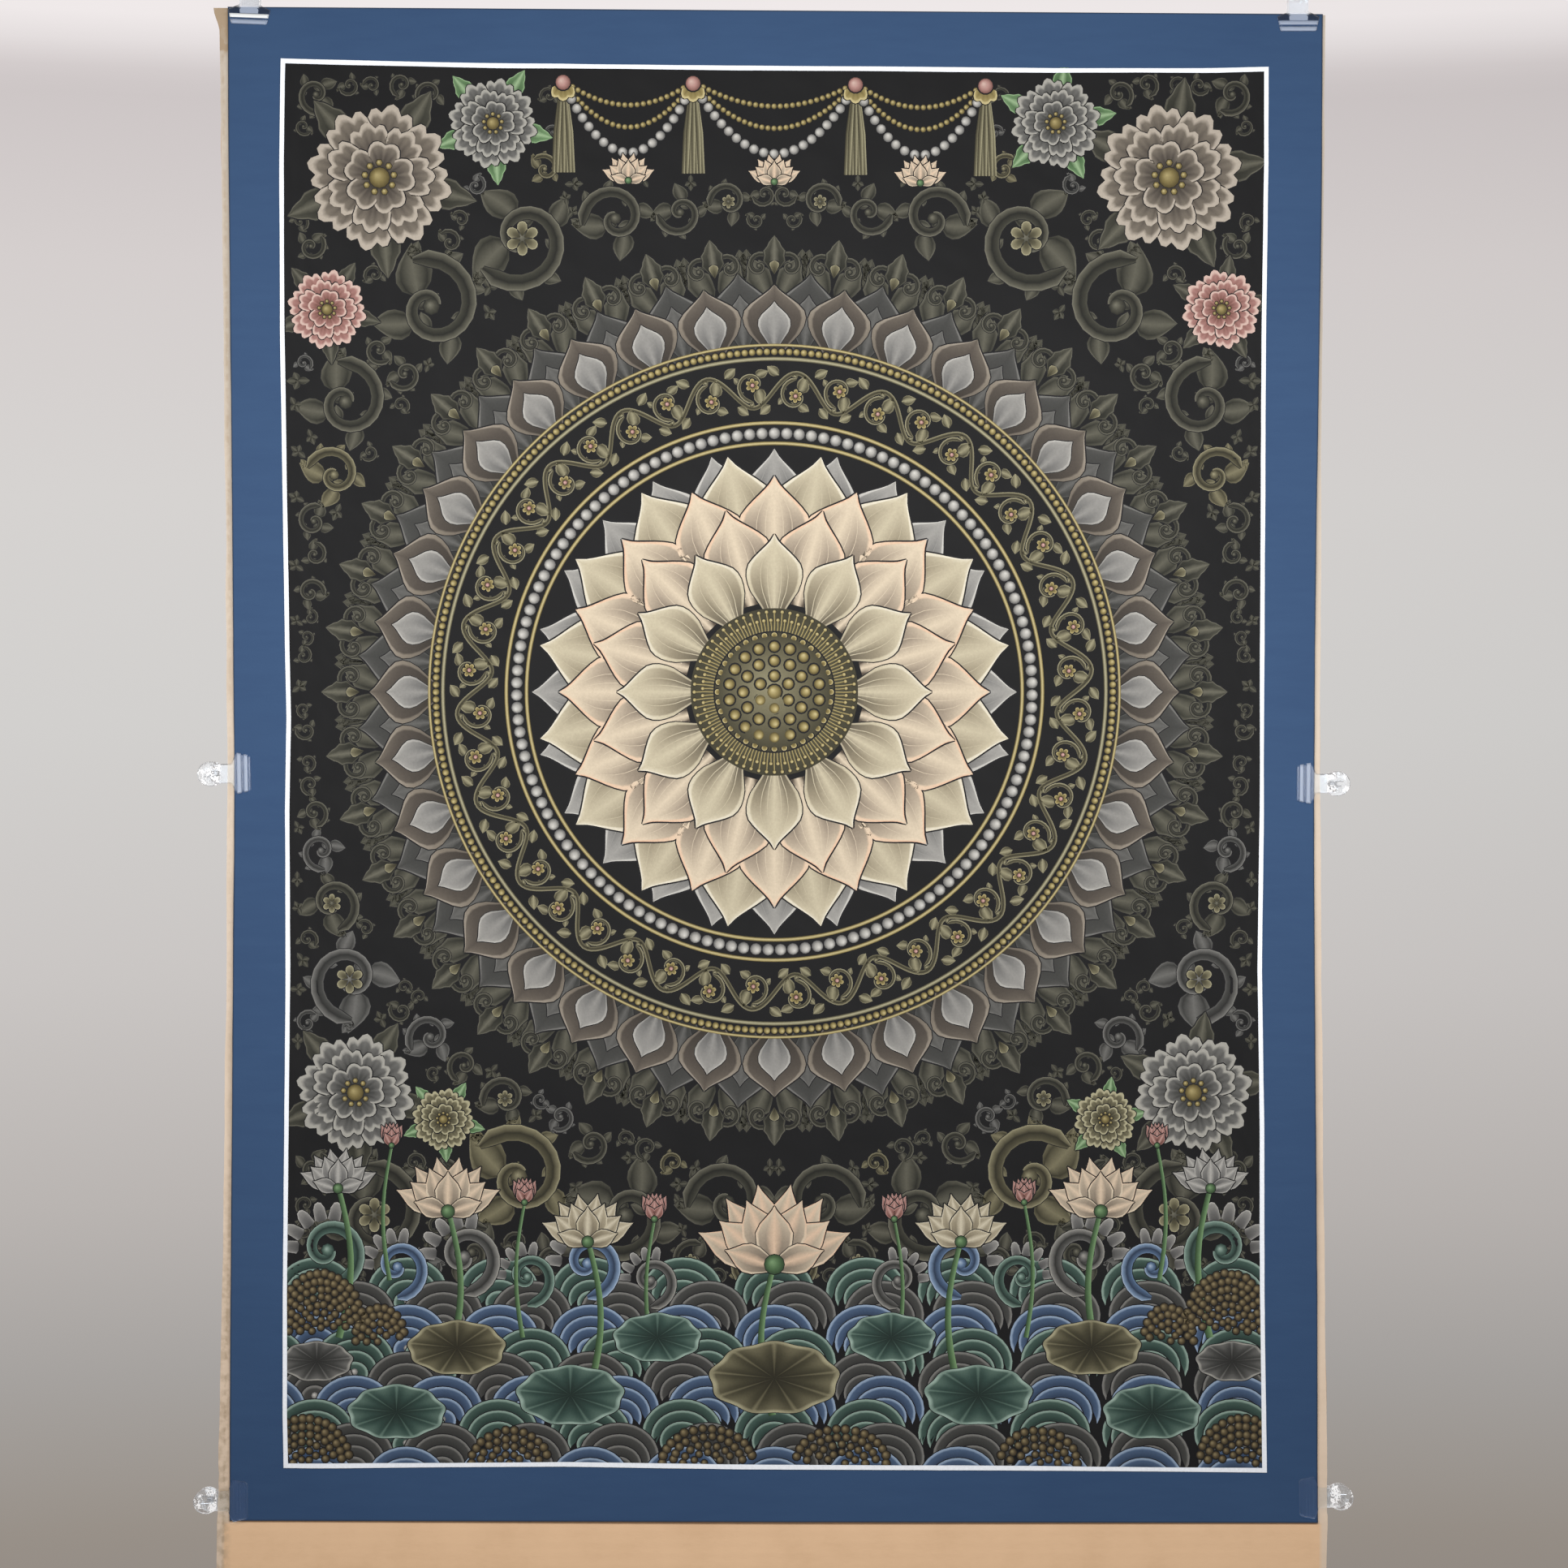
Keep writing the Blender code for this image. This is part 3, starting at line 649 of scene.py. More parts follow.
def paint(name, *shapes, cut=True):
    """Lays flat painted shapes on the canvas as one piece, cut off at the white line."""
    points, faces, shades, rows, start = [], [], [], [], 0
    for flat, own, shade, row in shapes:
        points.append(flat)
        shades.append(shade)
        rows.append(row)
        faces.extend([[n + start for n in face] for face in own])
        start += len(flat)
    flat, shade, row = np.concatenate(points), np.concatenate(shades), np.concatenate(rows)
    if cut:
        flat[:, 0] = np.clip(flat[:, 0], *CUT_SIDES)
        flat[:, 1] = np.clip(flat[:, 1], CUT_FOOT - FOOT_FALL * flat[:, 0],
                             CUT_TOP - TOP_FALL * flat[:, 0])
    # Turns each face to the front and drops those that the cut has closed.
    kept = []
    xs, ys = flat[:, 0], flat[:, 1]
    for face in faces:
        area = sum(xs[a] * ys[b] - xs[b] * ys[a] for a, b in zip(face, face[1:] + face[:1]))
        if abs(area) > 1e-4:
            kept.append(face if area > 0 else face[::-1])
    points = on_canvas(PICTURE_X + flat[:, 0] / 1000, PICTURE_Z + flat[:, 1] / 1000,
                       LAYER * (3 + flat[:, 2]))
    mesh = new_mesh(name, points, kept)
    used = np.zeros(len(points), bool)
    used[np.concatenate([np.array(face) for face in kept])] = True
    place = shade * 3
    low = np.clip(place.astype(int), 0, 2)
    part = (place - low)[:, None]
    colours = PIGMENT_RAMPS[row, low] * (1 - part) + PIGMENT_RAMPS[row, low + 1] * part
    mark = mesh.color_attributes.new("pigment", "FLOAT_COLOR", "POINT")
    mark.data.foreach_set("color", np.column_stack([colours, np.ones(len(colours))]).astype(
            np.float32).ravel())
    # The map lies by pigment and shade, so shapes of one colour share its pixels.
    spread = (np.arange(len(points)) * 0.6180339) % 1.0
    wander = (np.arange(len(points)) * 0.7548777) % 1.0
    across = 0.03 + 0.92 * shade + 0.02 * wander
    down = (row + 0.15 + 0.7 * spread) / len(PIGMENTS)
    uv = mesh.uv_layers.new(name="OFBake")
    corners = np.empty(len(mesh.loops), np.int32)
    mesh.loops.foreach_get("vertex_index", corners)
    uv.data.foreach_set("uv", np.stack([across, down], -1)[corners].astype(np.float32).ravel())
    shell = bmesh.new()
    shell.from_mesh(mesh)
    bmesh.ops.delete(shell, geom=[v for v in shell.verts if not v.link_faces], context="VERTS")
    shell.to_mesh(mesh)
    shell.free()
    mesh.materials.append(paint_material())
    piece = new_piece(name, mesh, None, smooth_faces=False)
    PAINTED.append(piece)
    return piece


PAINTED = []


def circle(centre, radius, steps):
    """A closed loop of points on a circle."""
    angle = np.linspace(0, math.tau, steps + 1)
    return np.stack([radius * np.sin(angle), radius * np.cos(angle)], -1) + np.array(centre)


def mirrored(x):
    """The signs that x is painted with: both, or one on the picture's middle line."""
    return (1, -1) if x else (1,)


def rosette(brush, place, size, pigment, layer):
    """A small flower of six plain petals."""
    for i in range(6):
        brush.scallop(place, size, 0.5, i * math.tau / 6, pigment, layer, **PLAIN_PETAL, depth=0.15,
                      shade=(0.15, 0.8), root=0.15)


def out_from(place, reach, angle):
    """The point at that reach and angle, turned from straight up, from a place."""
    return place[0] + reach * math.sin(angle), place[1] + reach * math.cos(angle)


def peony(brush, place, radius, pigment, layer, leaf="slate_grey", heart="gold", light=1.0,
          turn=0.0):
    """A full flower: three rings of lobed petals, a seed heart and five leaves behind it."""
    for i in range(5):
        angle = turn + i * math.tau / 5 + 0.35
        brush.petal(out_from(place, 0.5 * radius, angle), radius * 0.86, radius * 0.5, angle,
                    leaf, layer - 1.2, profile=LEAF, shade=(0.15, 0.7 * light), rim=0.95 * light,
                    vein=0.85 * light, rows=13, notch=0.22)
    rings = ((8, 1.0, 0.47, 3), (7, 0.76, 0.52, 3), (5, 0.5, 0.7, 2))
    for level, (count, size, spread, lobes) in enumerate(rings):
        for i in range(count):
            angle = turn + (i + 0.5 * (level % 2)) * math.tau / count
            brush.scallop(place, radius * size, spread, angle, pigment,
                          layer + level + 0.5 * (i % 2), lobes=lobes, depth=0.12,
                          shade=(0.08, 0.66 * light), rim=1.0 * light, root=0.1)
    for i in range(9):
        angle = i * math.tau / 9
        brush.disc(out_from(place, 0.2 * radius, angle), radius * 0.045, heart, layer + 4.4,
                   shade=(1, 0.6, 0.3), sides=6)
    brush.disc(place, radius * 0.14, heart, layer + 4, shade=(0.8, 0.5, 0.2))


def side_lotus(brush, place, size, pigment, layer, light=1.0, open_share=1.0):
    """A lotus seen from the side: cupped petals that open to both sides."""
    for level, (reach, wide,
                angles) in enumerate(((1.0, 0.42, (-1.15, 1.15, -0.62, 0.62, -0.2, 0.2)),
                                      (0.86, 0.44, (-0.88, 0.88, -0.4, 0.4)), (0.72, 0.46, (0.0,)),
                                      (0.62, 0.36, (-1.25, 1.25)))):
        for i, angle in enumerate(angles):
            brush.petal(place, size * reach, size * wide, angle * open_share, pigment,
                        layer + level + 0.4 * (i // 2), shade=(0.12, 0.74 * light),
                        rim=0.98 * light, vein=0.82 * light)
    brush.disc((place[0], place[1] + size * 0.03), size * 0.12, "leaf_green", layer + 4.5,
               shade=(0.7, 0.4, 0.1))


def lotus_leaf(brush, place, radius, pigment, layer, squash=0.55, lobes=9):
    """A broad round leaf seen at a slant, with veins that run out from its middle."""
    steps = lobes * 12
    angle = np.linspace(0, math.tau, steps + 1)[None, :]
    t = np.array([0.0, 0.08, 0.22, 0.36, 0.5, 0.64, 0.78, 0.9, 0.96, 1.0])[:, None]
    reach = radius * (0.96 + 0.03 * np.cos(angle * lobes) + 0.01 * np.cos(angle * 3 + place[0]))
    vein = np.clip(1 - np.abs((angle * lobes / math.tau + 0.5) % 1 - 0.5) * 12, 0, 1)
    tone = 0.06 + 0.5 * t ** 1.4 - 0.1 * np.cos(angle * lobes) * t + 0.3 * vein * (
            t < 0.93) + 0.35 * (t > 0.93)
    for grow, level, shade, paint_name in ((0.6, layer - 0.5, 0.4, "ink"),
                                           (0.0, layer, tone, pigment)):
        far = t * (reach + grow)
        brush.patch(place[0] + far * np.sin(angle), place[1] + squash * far * np.cos(angle), level,
                    np.broadcast_to(shade, far.shape), paint_name)


# ---- sizes and finishes a user may change -------------------------------------------------------

def length(name, text, default, **more):
    return bpy.props.FloatProperty(name=name, description=text, default=default, unit="LENGTH",
                                   precision=5, **more)


def colour(name, text, code):
    return bpy.props.FloatVectorProperty(name=name, description=text, default=linear(code), size=4,
                                         min=0, max=1, subtype="COLOR")


class CanvasSettings(bpy.types.PropertyGroup):
    height: length("Height", "Cut height of the canvas", CANVAS_HEIGHT)
    width: length("Width", "Cut width of the canvas", 0.652)
    thickness: length("Thickness", "Thickness of the primed and painted cotton", CANVAS_THICKNESS)
    line: length("Line width", "Width of the white line round the picture", 0.00266)
    border: colour("Border", "Indigo gouache of the border", "#2d4565")
    cotton: colour("Cotton", "Raw cotton of the back and the cut edges", "#cfc6b2")


class PictureSettings(bpy.types.PropertyGroup):
    up: length("Middle", "Height of the medallion's middle over the picture's middle", 0.045)
    pod: length("Seed pod", "Radius of the lotus's seed pod", 0.036)
    lotus: length("Open lotus", "Radius of the open lotus", 0.146)
    scroll: length("Scroll band", "Radius of the scroll band's middle", 0.181)
    scroll_count: bpy.props.IntProperty(name="Scrolls", description="Scrolls round the band",
                                        default=22)
    petals: bpy.props.IntProperty(name="Petals", description="Petals in the outer ring", default=36)
    outer: length("Outer petals", "Radius at which the outer petals start", 0.203)
    fringe: bpy.props.IntProperty(name="Fringe leaves", description="Leaves round the medallion",
                                  default=44)
    seed: bpy.props.IntProperty(name="Seed", description="Seed of the vine's growth", default=7)


class BoardSettings(bpy.types.PropertyGroup):
    pitch: length("Flute pitch", "Distance from one flute of the card to the next", 0.0065)
    liner: length("Liner", "Thickness of the front and back paper", 0.0005)
    card: colour("Card", "Kraft paper of the liners", "#d6b38f")
    faded: colour("Faded card", "Kraft paper at the top of the sides, where light has bleached it",
                  "#b2a89b")
    faded_low: colour("Faded card below", "Kraft paper at the foot of the sides", "#cfbba6")
    # This colour also paints the low clip's shadow on the card.
    bruised_and_shadowed: colour("Bruised card", "Kraft paper where it is crushed or torn", "#99866f")


class ClipSettings(bpy.types.PropertyGroup):
    rib: length("Rib height", "Height of the two ribs on a jaw", 0.0010)
    ior: bpy.props.FloatProperty(name="IOR", description="Index of refraction of the clear plastic",
                                 default=1.38)
    wire: colour("Wire", "Bright steel of the springs", "#d0d2d5")


class StudioSettings(bpy.types.PropertyGroup):
    floor: colour("Floor", "Pale floor below the object", "#e9e5e2")
    key: bpy.props.FloatProperty(name="Key light", description="Power of the soft light in front",
                                 default=12.4, unit="POWER")
    back: bpy.props.FloatProperty(name="Back light", description="Power of the soft light behind",
                                  default=30.0, unit="POWER")
    lens: bpy.props.FloatProperty(name="Lens", description="Focal length", default=73.25,
                                  unit="CAMERA")
    distance: length("Camera distance", "From the camera to the middle of the canvas", 1.905)


# ---- operators ----------------------------------------------------------------------------------

class THANGKA_OT_canvas(bpy.types.Operator):
    """Cuts the canvas, hangs it on the bow of its board and gives it the indigo border"""
    bl_idname = "thangka.canvas"
    bl_label = "Canvas"

    def execute(self, context):
        sizes = context.scene.thangka_canvas
        band = np.append(np.linspace(0.84, 0.99, 13), (0.9955, 0.9975, 0.999, 1.0))
        share = np.concatenate([-band[::-1], np.linspace(-0.84, 0.84, 45)[1:-1], band])[None, :]
        rim = np.array((0, 0.0003, 0.0008, 0.0015))
        depth = np.concatenate([rim, np.linspace(0.009, sizes.height - 0.009, 97),
                                sizes.height - rim[::-1]])[:, None]
        front = canvas_front(share, depth)
        # The cut edge wanders by a few tenths of a millimetre.
        chance = np.random.default_rng(2)
        for column in (0, -1):
            front[:, column, 0] += 0.00016 * wander(chance, len(depth), 5, 4)
        points, faces = closed_sheet(front, front + np.array([0, sizes.thickness, 0]))
        inset = np.minimum((1 - np.abs(share)) * sizes.width / 2,
                           np.minimum(depth, sizes.height - depth)) * 1000
        mesh = new_mesh("canvas", points, faces, inset=np.tile(inset.ravel(), 2))
        mesh.materials.append(self.border(sizes))
        mesh.materials.append(self.cotton(sizes))
        painted = (share.size - 1) * (depth.size - 1)
        mesh.polygons.foreach_set("material_index",
                                  (np.arange(len(faces)) >= painted).astype(np.int32))
        piece = new_piece("canvas", mesh, None)
        piece.data.set_sharp_from_angle(angle=0.6)
        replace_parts(piece, "painted_canvas")
        PAINTED.clear()
        return {"FINISHED"}

    def border(self, sizes):
        """Indigo gouache brushed on primed cotton: matt, uneven, darker where two strokes meet."""
        material, tree, surface = new_material("Indigo gouache on primed cotton",
                                               **{**GOUACHE, "Roughness": 0.7})
        place = own_place(tree)
        # Broad patches of about 120 mm, then brush strokes about 38 mm long and 6 mm high.
        patches = noise(tree, place, 8.0, 2.0)
        strokes = noise(tree, drawn_out(tree, place, 1.0, 1.0, 6.0), 26.0, 5.0, Roughness=0.62)
        tint = ramp(tree, weighted(tree, patches, 0.45, strokes, 0.55), tints(
            sizes.border, (0.36, (0.93, 0.94, 0.96)), (0.5, (1, 1, 1)), (0.64, (1.06, 1.05, 1.04))))
        # Within 1.5 mm of the cut the border paint darkens to a dull dark line.
        edge = ramp(tree, attribute(tree, "inset"), ((0.2, (0.66, 0.5, 0.42, 1)),
                                                     (1.0, (1, 1, 1, 1))))
        # The cloth's threads, really 0.6 mm apart, show faintly in the priming as 1.6 mm slubs.
        slub = bump(tree, noise(tree, place, 620.0, 2.0), 0.12, 0.0004)
        dress(tree, surface, Base_Color=mix(tree, 1.0, tint, edge, "MULTIPLY"), Normal=slub)
        return material

    def cotton(self, sizes):
        """Raw plain-woven cotton on the back: pale, slubby and without any sheen from paint."""
        material, tree, surface = new_material("Plain-woven raw cotton", **{
            "Roughness": 0.92, "Specular IOR Level": 0.25})
        place = own_place(tree)
        # Threads drawn 2.4 mm apart, coarser than the real 0.6 mm, so that they show.
        warp, weft = (bands(tree, place, 0.0024, axis, **{"Distortion": 1.2, "Detail": 2.0,
                                                          "Detail Scale": 3.0})
                      for axis in ("X", "Z"))
        height = maths(tree, "MULTIPLY", warp, weft)
        tint = ramp(tree, height, tints(sizes.cotton, (0.0, (0.82, 0.81, 0.78)), (0.6, (1, 1, 1))))
        dress(tree, surface, Base_Color=tint, Normal=bump(tree, height, 0.3, 0.0004))
        return material


class THANGKA_OT_ground(bpy.types.Operator):
    """Fills the picture with black gouache and rules the white line round it by hand"""
    bl_idname = "thangka.ground"
    bl_label = "Black ground and white line"

    def execute(self, context):
        top, right, bottom, left = self.sides()
        self.black(top, right, bottom, left)
        self.line(np.concatenate([top[:-1], right[:-1], bottom[:0:-1], left[:0:-1]]),
                  context.scene.thangka_canvas.line * 1000)
        return {"FINISHED"}

    def sides(self):
        """The line's middle on each side in even steps, right and down, with shared corners."""
        sides = []
        for path, along_x in ((LINE_TOP, True), (LINE_RIGHT, False), (LINE_BOTTOM, True),
                              (LINE_LEFT, False)):
            place, reach = np.array(path if along_x else path[::-1]).T
            even = np.linspace(place[0], place[-1], 61 if along_x else 91)
            eased = np.interp(even, place, reach)
            side = np.stack([even, eased] if along_x else [eased, even], -1)
            middle = np.array([PICTURE_X, PICTURE_Z]) * 1000
            sides.append((side if along_x else side[::-1]) * 1000 - middle)
        top, right, bottom, left = sides
        for one, i, two, j in ((top, 0, left, 0), (top, -1, right, 0), (bottom, 0, left, -1),
                               (bottom, -1, right, -1)):
            one[i] = two[j] = (one[i] + two[j]) / 2
        return sides

    def black(self, top, right, bottom, left):
        """The black ground, laid in before the line: a grid that blends the four sides."""
        brush = Brush(5)
        even = np.linspace(0, 1, len(top))
        u = 0.5 - 0.5 * np.cos(np.pi * even) * (0.85 + 0.15 * np.abs(np.cos(np.pi * even)))
        above, below = (np.stack([np.interp(u, even, side[:, k]) for k in (0, 1)], -1)
                        for side in (top, bottom))
        u, v = u[None, :, None], np.linspace(0, 1, len(left))[:, None, None]
        # The corners lie on two sides, so each is taken off once.
        field = ((1 - v) * above + v * below + (1 - u) * left[:, None] + u * right[:, None]
                 - (1 - v) * ((1 - u) * top[0] + u * top[-1])
                 - v * ((1 - u) * bottom[0] + u * bottom[-1]))
        worn = brush.chance.uniform(0.35, 0.75, field.shape[:2])
        brush.patch(field[..., 0], field[..., 1], -2.1, worn, "ground")
        paint("black_ground", brush.arrays(), cut=False)

    def line(self, loop, width):
        """The line, as one closed ribbon with a hand's small changes of width."""
        ahead, behind = np.roll(loop, -1, 0) - loop, loop - np.roll(loop, 1, 0)
        both = sum(way / np.linalg.norm(way, axis=1, keepdims=True) for way in (ahead, behind))
        mitre = np.stack([-both[:, 1], both[:, 0]], -1)
        mitre /= (mitre ** 2).sum(1, keepdims=True) / 2
        brush = Brush(6)
        half = width / 2 * (1 + 0.10 * wander(brush.chance, len(loop), 7, 3))
        waver = 0.16 * wander(brush.chance, len(loop), 11, 5)
        offset = np.array([-1.0, -0.55, 0.55, 1.0])[None, :] * half[:, None] + waver[:, None]
        ribbon = loop[:, None] + mitre[:, None] * offset[..., None]
        ribbon = np.concatenate([ribbon, ribbon[:1]])
        tone = np.array([0.7, 1.0, 1.0, 0.7])[None, :] - 0.1 * brush.chance.uniform(
                0, 1, ribbon.shape[:2])
        tone[-1] = tone[0]
        brush.patch(ribbon[..., 0], ribbon[..., 1], 20.0, tone, "line_white")
        paint("white_line", brush.arrays(), cut=False)


class THANGKA_OT_lotus(bpy.types.Operator):
    """Paints the open lotus in the middle: seed pod, stamens and five rings of petals"""
    bl_idname = "thangka.lotus"
    bl_label = "Open lotus"

    def execute(self, context):
        sizes = context.scene.thangka_picture
        centre = (0.0, sizes.up * 1000)
        pod, reach = sizes.pod * 1000, sizes.lotus * 1000
        ring = ring_tree()
        shapes = []
        # count, root radius, tip radius, width, layer, turn in steps, lightest shade, fade, pigment
        rows = ((24, 0.60, 1.00, 38, 0.0, 0.0, 0.86, 1.7, "pearl_grey"),
                (16, 0.42, 0.98, 50, 1.2, 0.5, 0.95, 1.9, "ivory"),
                (16, 0.34, 0.85, 44, 2.4, 0.0, 0.95, 1.7, "blush"),
                (12, 0.20, 0.69, 42, 3.6, 0.5, 0.95, 1.6, "blush"),
                (12, 0.12, 0.53, 34, 4.8, 0.0, 0.97, 1.0, "ivory"))
        for count, root, tip, wide, layer, turn, light, fade, pigment in rows:
            brush = Brush(int(count + layer * 10))
            start, end = pod + (reach - pod) * root * 0.8, pod + (reach - pod) * tip
            brush.petal((0, 0), end - start, wide, 0.0, pigment, layer, shade=(0.02, light),
                        vein=light * 0.66, rows=17, outline=0.7, fade=fade)
            # Fine veins, drawn with the tip of the brush.
            t = np.linspace(0.08, 0.86, 9)
            for lean in (-0.5, -0.25, 0.25, 0.5):
                vein = np.stack([np.interp(t, *LOTUS) * wide / 2 * lean, t * (end - start)], -1)
                brush.stroke(vein, 0.5 * (1.2 - t), pigment, layer + 0.3, shade=(light * 0.62,) * 3,
                             columns=PLAIN[[0, 4]])
            shapes.append(brush.ring(ring, centre, count, start, turn))
        # A dark bed under the stamens covers the petals' roots.
        brush = Brush(9)
        angle, away = np.linspace(0, math.tau, 97)[None, :], pod * np.linspace(0.8, 1.4, 9)[:, None]
        brush.patch(centre[0] + away * np.sin(angle), centre[1] + away * np.cos(angle), 5.4,
                    0.42 - 0.34 * (away / pod - 0.8), "khaki")
        shapes.append(brush.arrays())
        # Stamens with a grain of gold at each tip.
        start = pod * 0.9
        for tip, turn in ((pod * 1.34, 0.0), (pod * 1.2, 0.5)):
            brush, high = Brush(1), tip - start
            brush.stroke([(0, 0), (0.3, high * 0.6), (0, high)], 0.75, "gold", 6.0,
                         shade=(0.9, 0.6, 0.3), columns=PLAIN[[0, 2, 4]])
            brush.disc((0, high), 1.15, "gold", 6.4, shade=(1.0, 0.8, 0.45), sides=7)
            shapes.append(brush.ring(ring, centre, 64, start, turn))
        # The pod, its seeds and its scalloped rim.
        brush = Brush(4)
        brush.disc(centre, pod, "khaki", 7.0, shade=(0.75, 0.5, 0.2), sides=48, shine=0.15,
                   outline=0.8)
        shapes.append(brush.arrays())
        for count, radius in ((6, 0.27), (12, 0.52), (18, 0.76)):
            brush = Brush(2)
            brush.disc((0, 0), pod * 0.088, "gold", 7.8, **SEED)
            shapes.append(brush.ring(ring, centre, count, pod * radius))
        brush = Brush(3)
        brush.disc(centre, pod * 0.12, "gold", 7.8, sides=14, **SEED)
        shapes.append(brush.arrays())
        brush = Brush(3)
        brush.scallop((0, 0), 3.4, 0.9, 0.0, "gold", 8.2, lobes=1, depth=0.2, shade=(0.3, 0.8),
                      root=0.2)
        shapes.append(brush.ring(ring, centre, 36, pod * 0.9))
        paint("open_lotus", *shapes)
        return {"FINISHED"}


class THANGKA_OT_medallion(bpy.types.Operator):
    """Paints the rings round the lotus: pearls, scroll band, outer petals and leaf fringe"""
    bl_idname = "thangka.medallion"
    bl_label = "Medallion rings"

    def execute(self, context):
        sizes = context.scene.thangka_picture
        centre, ring = (0.0, sizes.up * 1000), ring_tree()
        outer = sizes.outer * 1000
        step = math.tau * outer / sizes.petals
        self.rings(ring, centre, sizes.lotus * 1000, outer)
        self.scrolls(centre, sizes.scroll_count, sizes.scroll * 1000)
        self.petals(ring, centre, sizes.petals, outer, step)
        self.fringe(ring, centre, sizes.fringe, outer + step * 0.9)
        return {"FINISHED"}

    def rings(self, ring, centre, lotus, outer):
        """Plain rings, and the pearls between them."""
        brush = Brush(11)
        for radius, width, pigment, layer in ((lotus + 3.2, 2.2, "gold", 2.0),
                                              (lotus + 15.4, 2.2, "gold", 2.0),
                                              (outer - 3.4, 2.4, "khaki", 2.0),
                                              (outer + 4.8, 1.6, "gold", 6.0)):
            brush.stroke(circle(centre, radius, 160), width, pigment, layer, shade=(0.4, 1.0, 0.2))
        shapes = [brush.arrays()]
        for radius, size, pigment, layer in ((lotus + 9.2, 3.5, "pearl_grey", 2.0),
                                             (outer + 0.8, 2.1, "gold", 6.0)):
            brush = Brush(12)
            brush.disc((0, 0), size, pigment, layer, **PEARL)
            shapes.append(brush.ring(ring, centre, round(math.tau * radius / (size * 2.12)),
                                     radius))
        paint("pearl_rings", *shapes)

    def scrolls(self, centre, count, radius):
        """The scroll band, whose unit is a waving stem, two leafy volutes and two small flowers."""
        pitch = math.tau * radius / count
        brush = Brush(13)
        x = np.linspace(-pitch / 2, pitch / 2, 25)
        brush.stroke(np.stack([x, 10.5 * np.sin(x / pitch * math.tau)], -1), 2.6, "khaki", 1.0,
                     shade=(0.85, 0.5, 0.1, 0.3, 0.6))
        for side in (-1, 1):
            at = (side * pitch / 4, -side * 3.2)
            brush.volute(at, 11.6, math.pi / 2 * side, side, "khaki", 2.0, turns=1.15, leaves=7)
            rosette(brush, at, 4.1, "gold", 3.5)
            brush.disc(at, 1.2, "rose", 4.2, shade=(1.0, 0.7, 0.5), sides=8)
            for lean in (-1, 1):
                root = (side * pitch / 4 + lean * pitch / 5, side * 9.0)
                brush.petal(root, 8.5, 6.0, lean * 0.9 + (side < 0) * math.pi, "khaki", 1.4,
                            **SMALL_LEAF, shade=(0.15, 0.7), rim=0.95, vein=0.85, rows=8)
        paint("scroll_band", brush.repeat(band_tree(), {"Count": count, "Radius": radius}, centre))

    def petals(self, ring, centre, count, radius, step):
        """Outer petals, a dark row behind a pale one, each with a smaller petal on it."""
        shapes = []
        for layer, turn, reach, pigment, inner, light in ((2.0, 0.5, 1.32, "stone_grey",
                                                           "stone_grey", 0.72),
                                                          (3.4, 0.0, 1.12, "taupe", "pearl_grey",
                                                           0.92)):
            brush = Brush(14)
            brush.petal((0, 0), step * reach, step * 1.08, 0.0, pigment, layer,
                        shade=(0.06, 0.62 * light), rim=light, rows=13, outline=0.6)
            brush.petal((0, step * 0.1), step * reach * 0.66, step * 0.56, 0.0, inner, layer + 0.7,
                        shade=(0.25, 0.85 * light), rim=light, vein=0.5, rows=11, outline=0.4)
            shapes.append(brush.ring(ring, centre, count, radius + 1.0, turn))
        paint("outer_petals", *shapes)

    def fringe(self, ring, centre, count, radius):
        """The leaf fringe behind the outer petals."""
        step = math.tau * radius / count
        brush = Brush(15)
        for side in (-1, 1):
            brush.volute((side * step * 0.27, 22.0), step * 0.3, math.pi * (0.5 + side * 0.5),
                         -side, "slate_grey", 1.0, turns=1.2, width=0.3, steps=20, leaves=4)
            brush.petal((side * step * 0.1, 3.0), 27, 17, side * 0.46, "slate_grey", 0.2,
                        **SMALL_LEAF, shade=(0.1, 0.72), vein=0.8, notch=0.2)
            brush.petal((side * step * 0.5, 14.0), 18, 11, 0.0, "slate_grey", -0.4, **SMALL_LEAF,
                        shade=(0.1, 0.6), rim=0.9, vein=0.7, rows=7)
        brush.petal((0, 18.0), 22.0, 15.0, 0.0, "slate_grey", 1.6, profile=LEAF, shade=(0.1, 0.8),
                    vein=0.9, rows=11, notch=0.2, outline=0.4)
        brush.petal((0, 17.0), 8.0, 6.0, 0.0, "khaki", 2.2, profile=DROP, shade=(0.1, 0.8), rows=7,
                    columns=PLAIN, outline=0.4)
        paint("leaf_fringe", brush.ring(ring, centre, count, radius - 2.0))


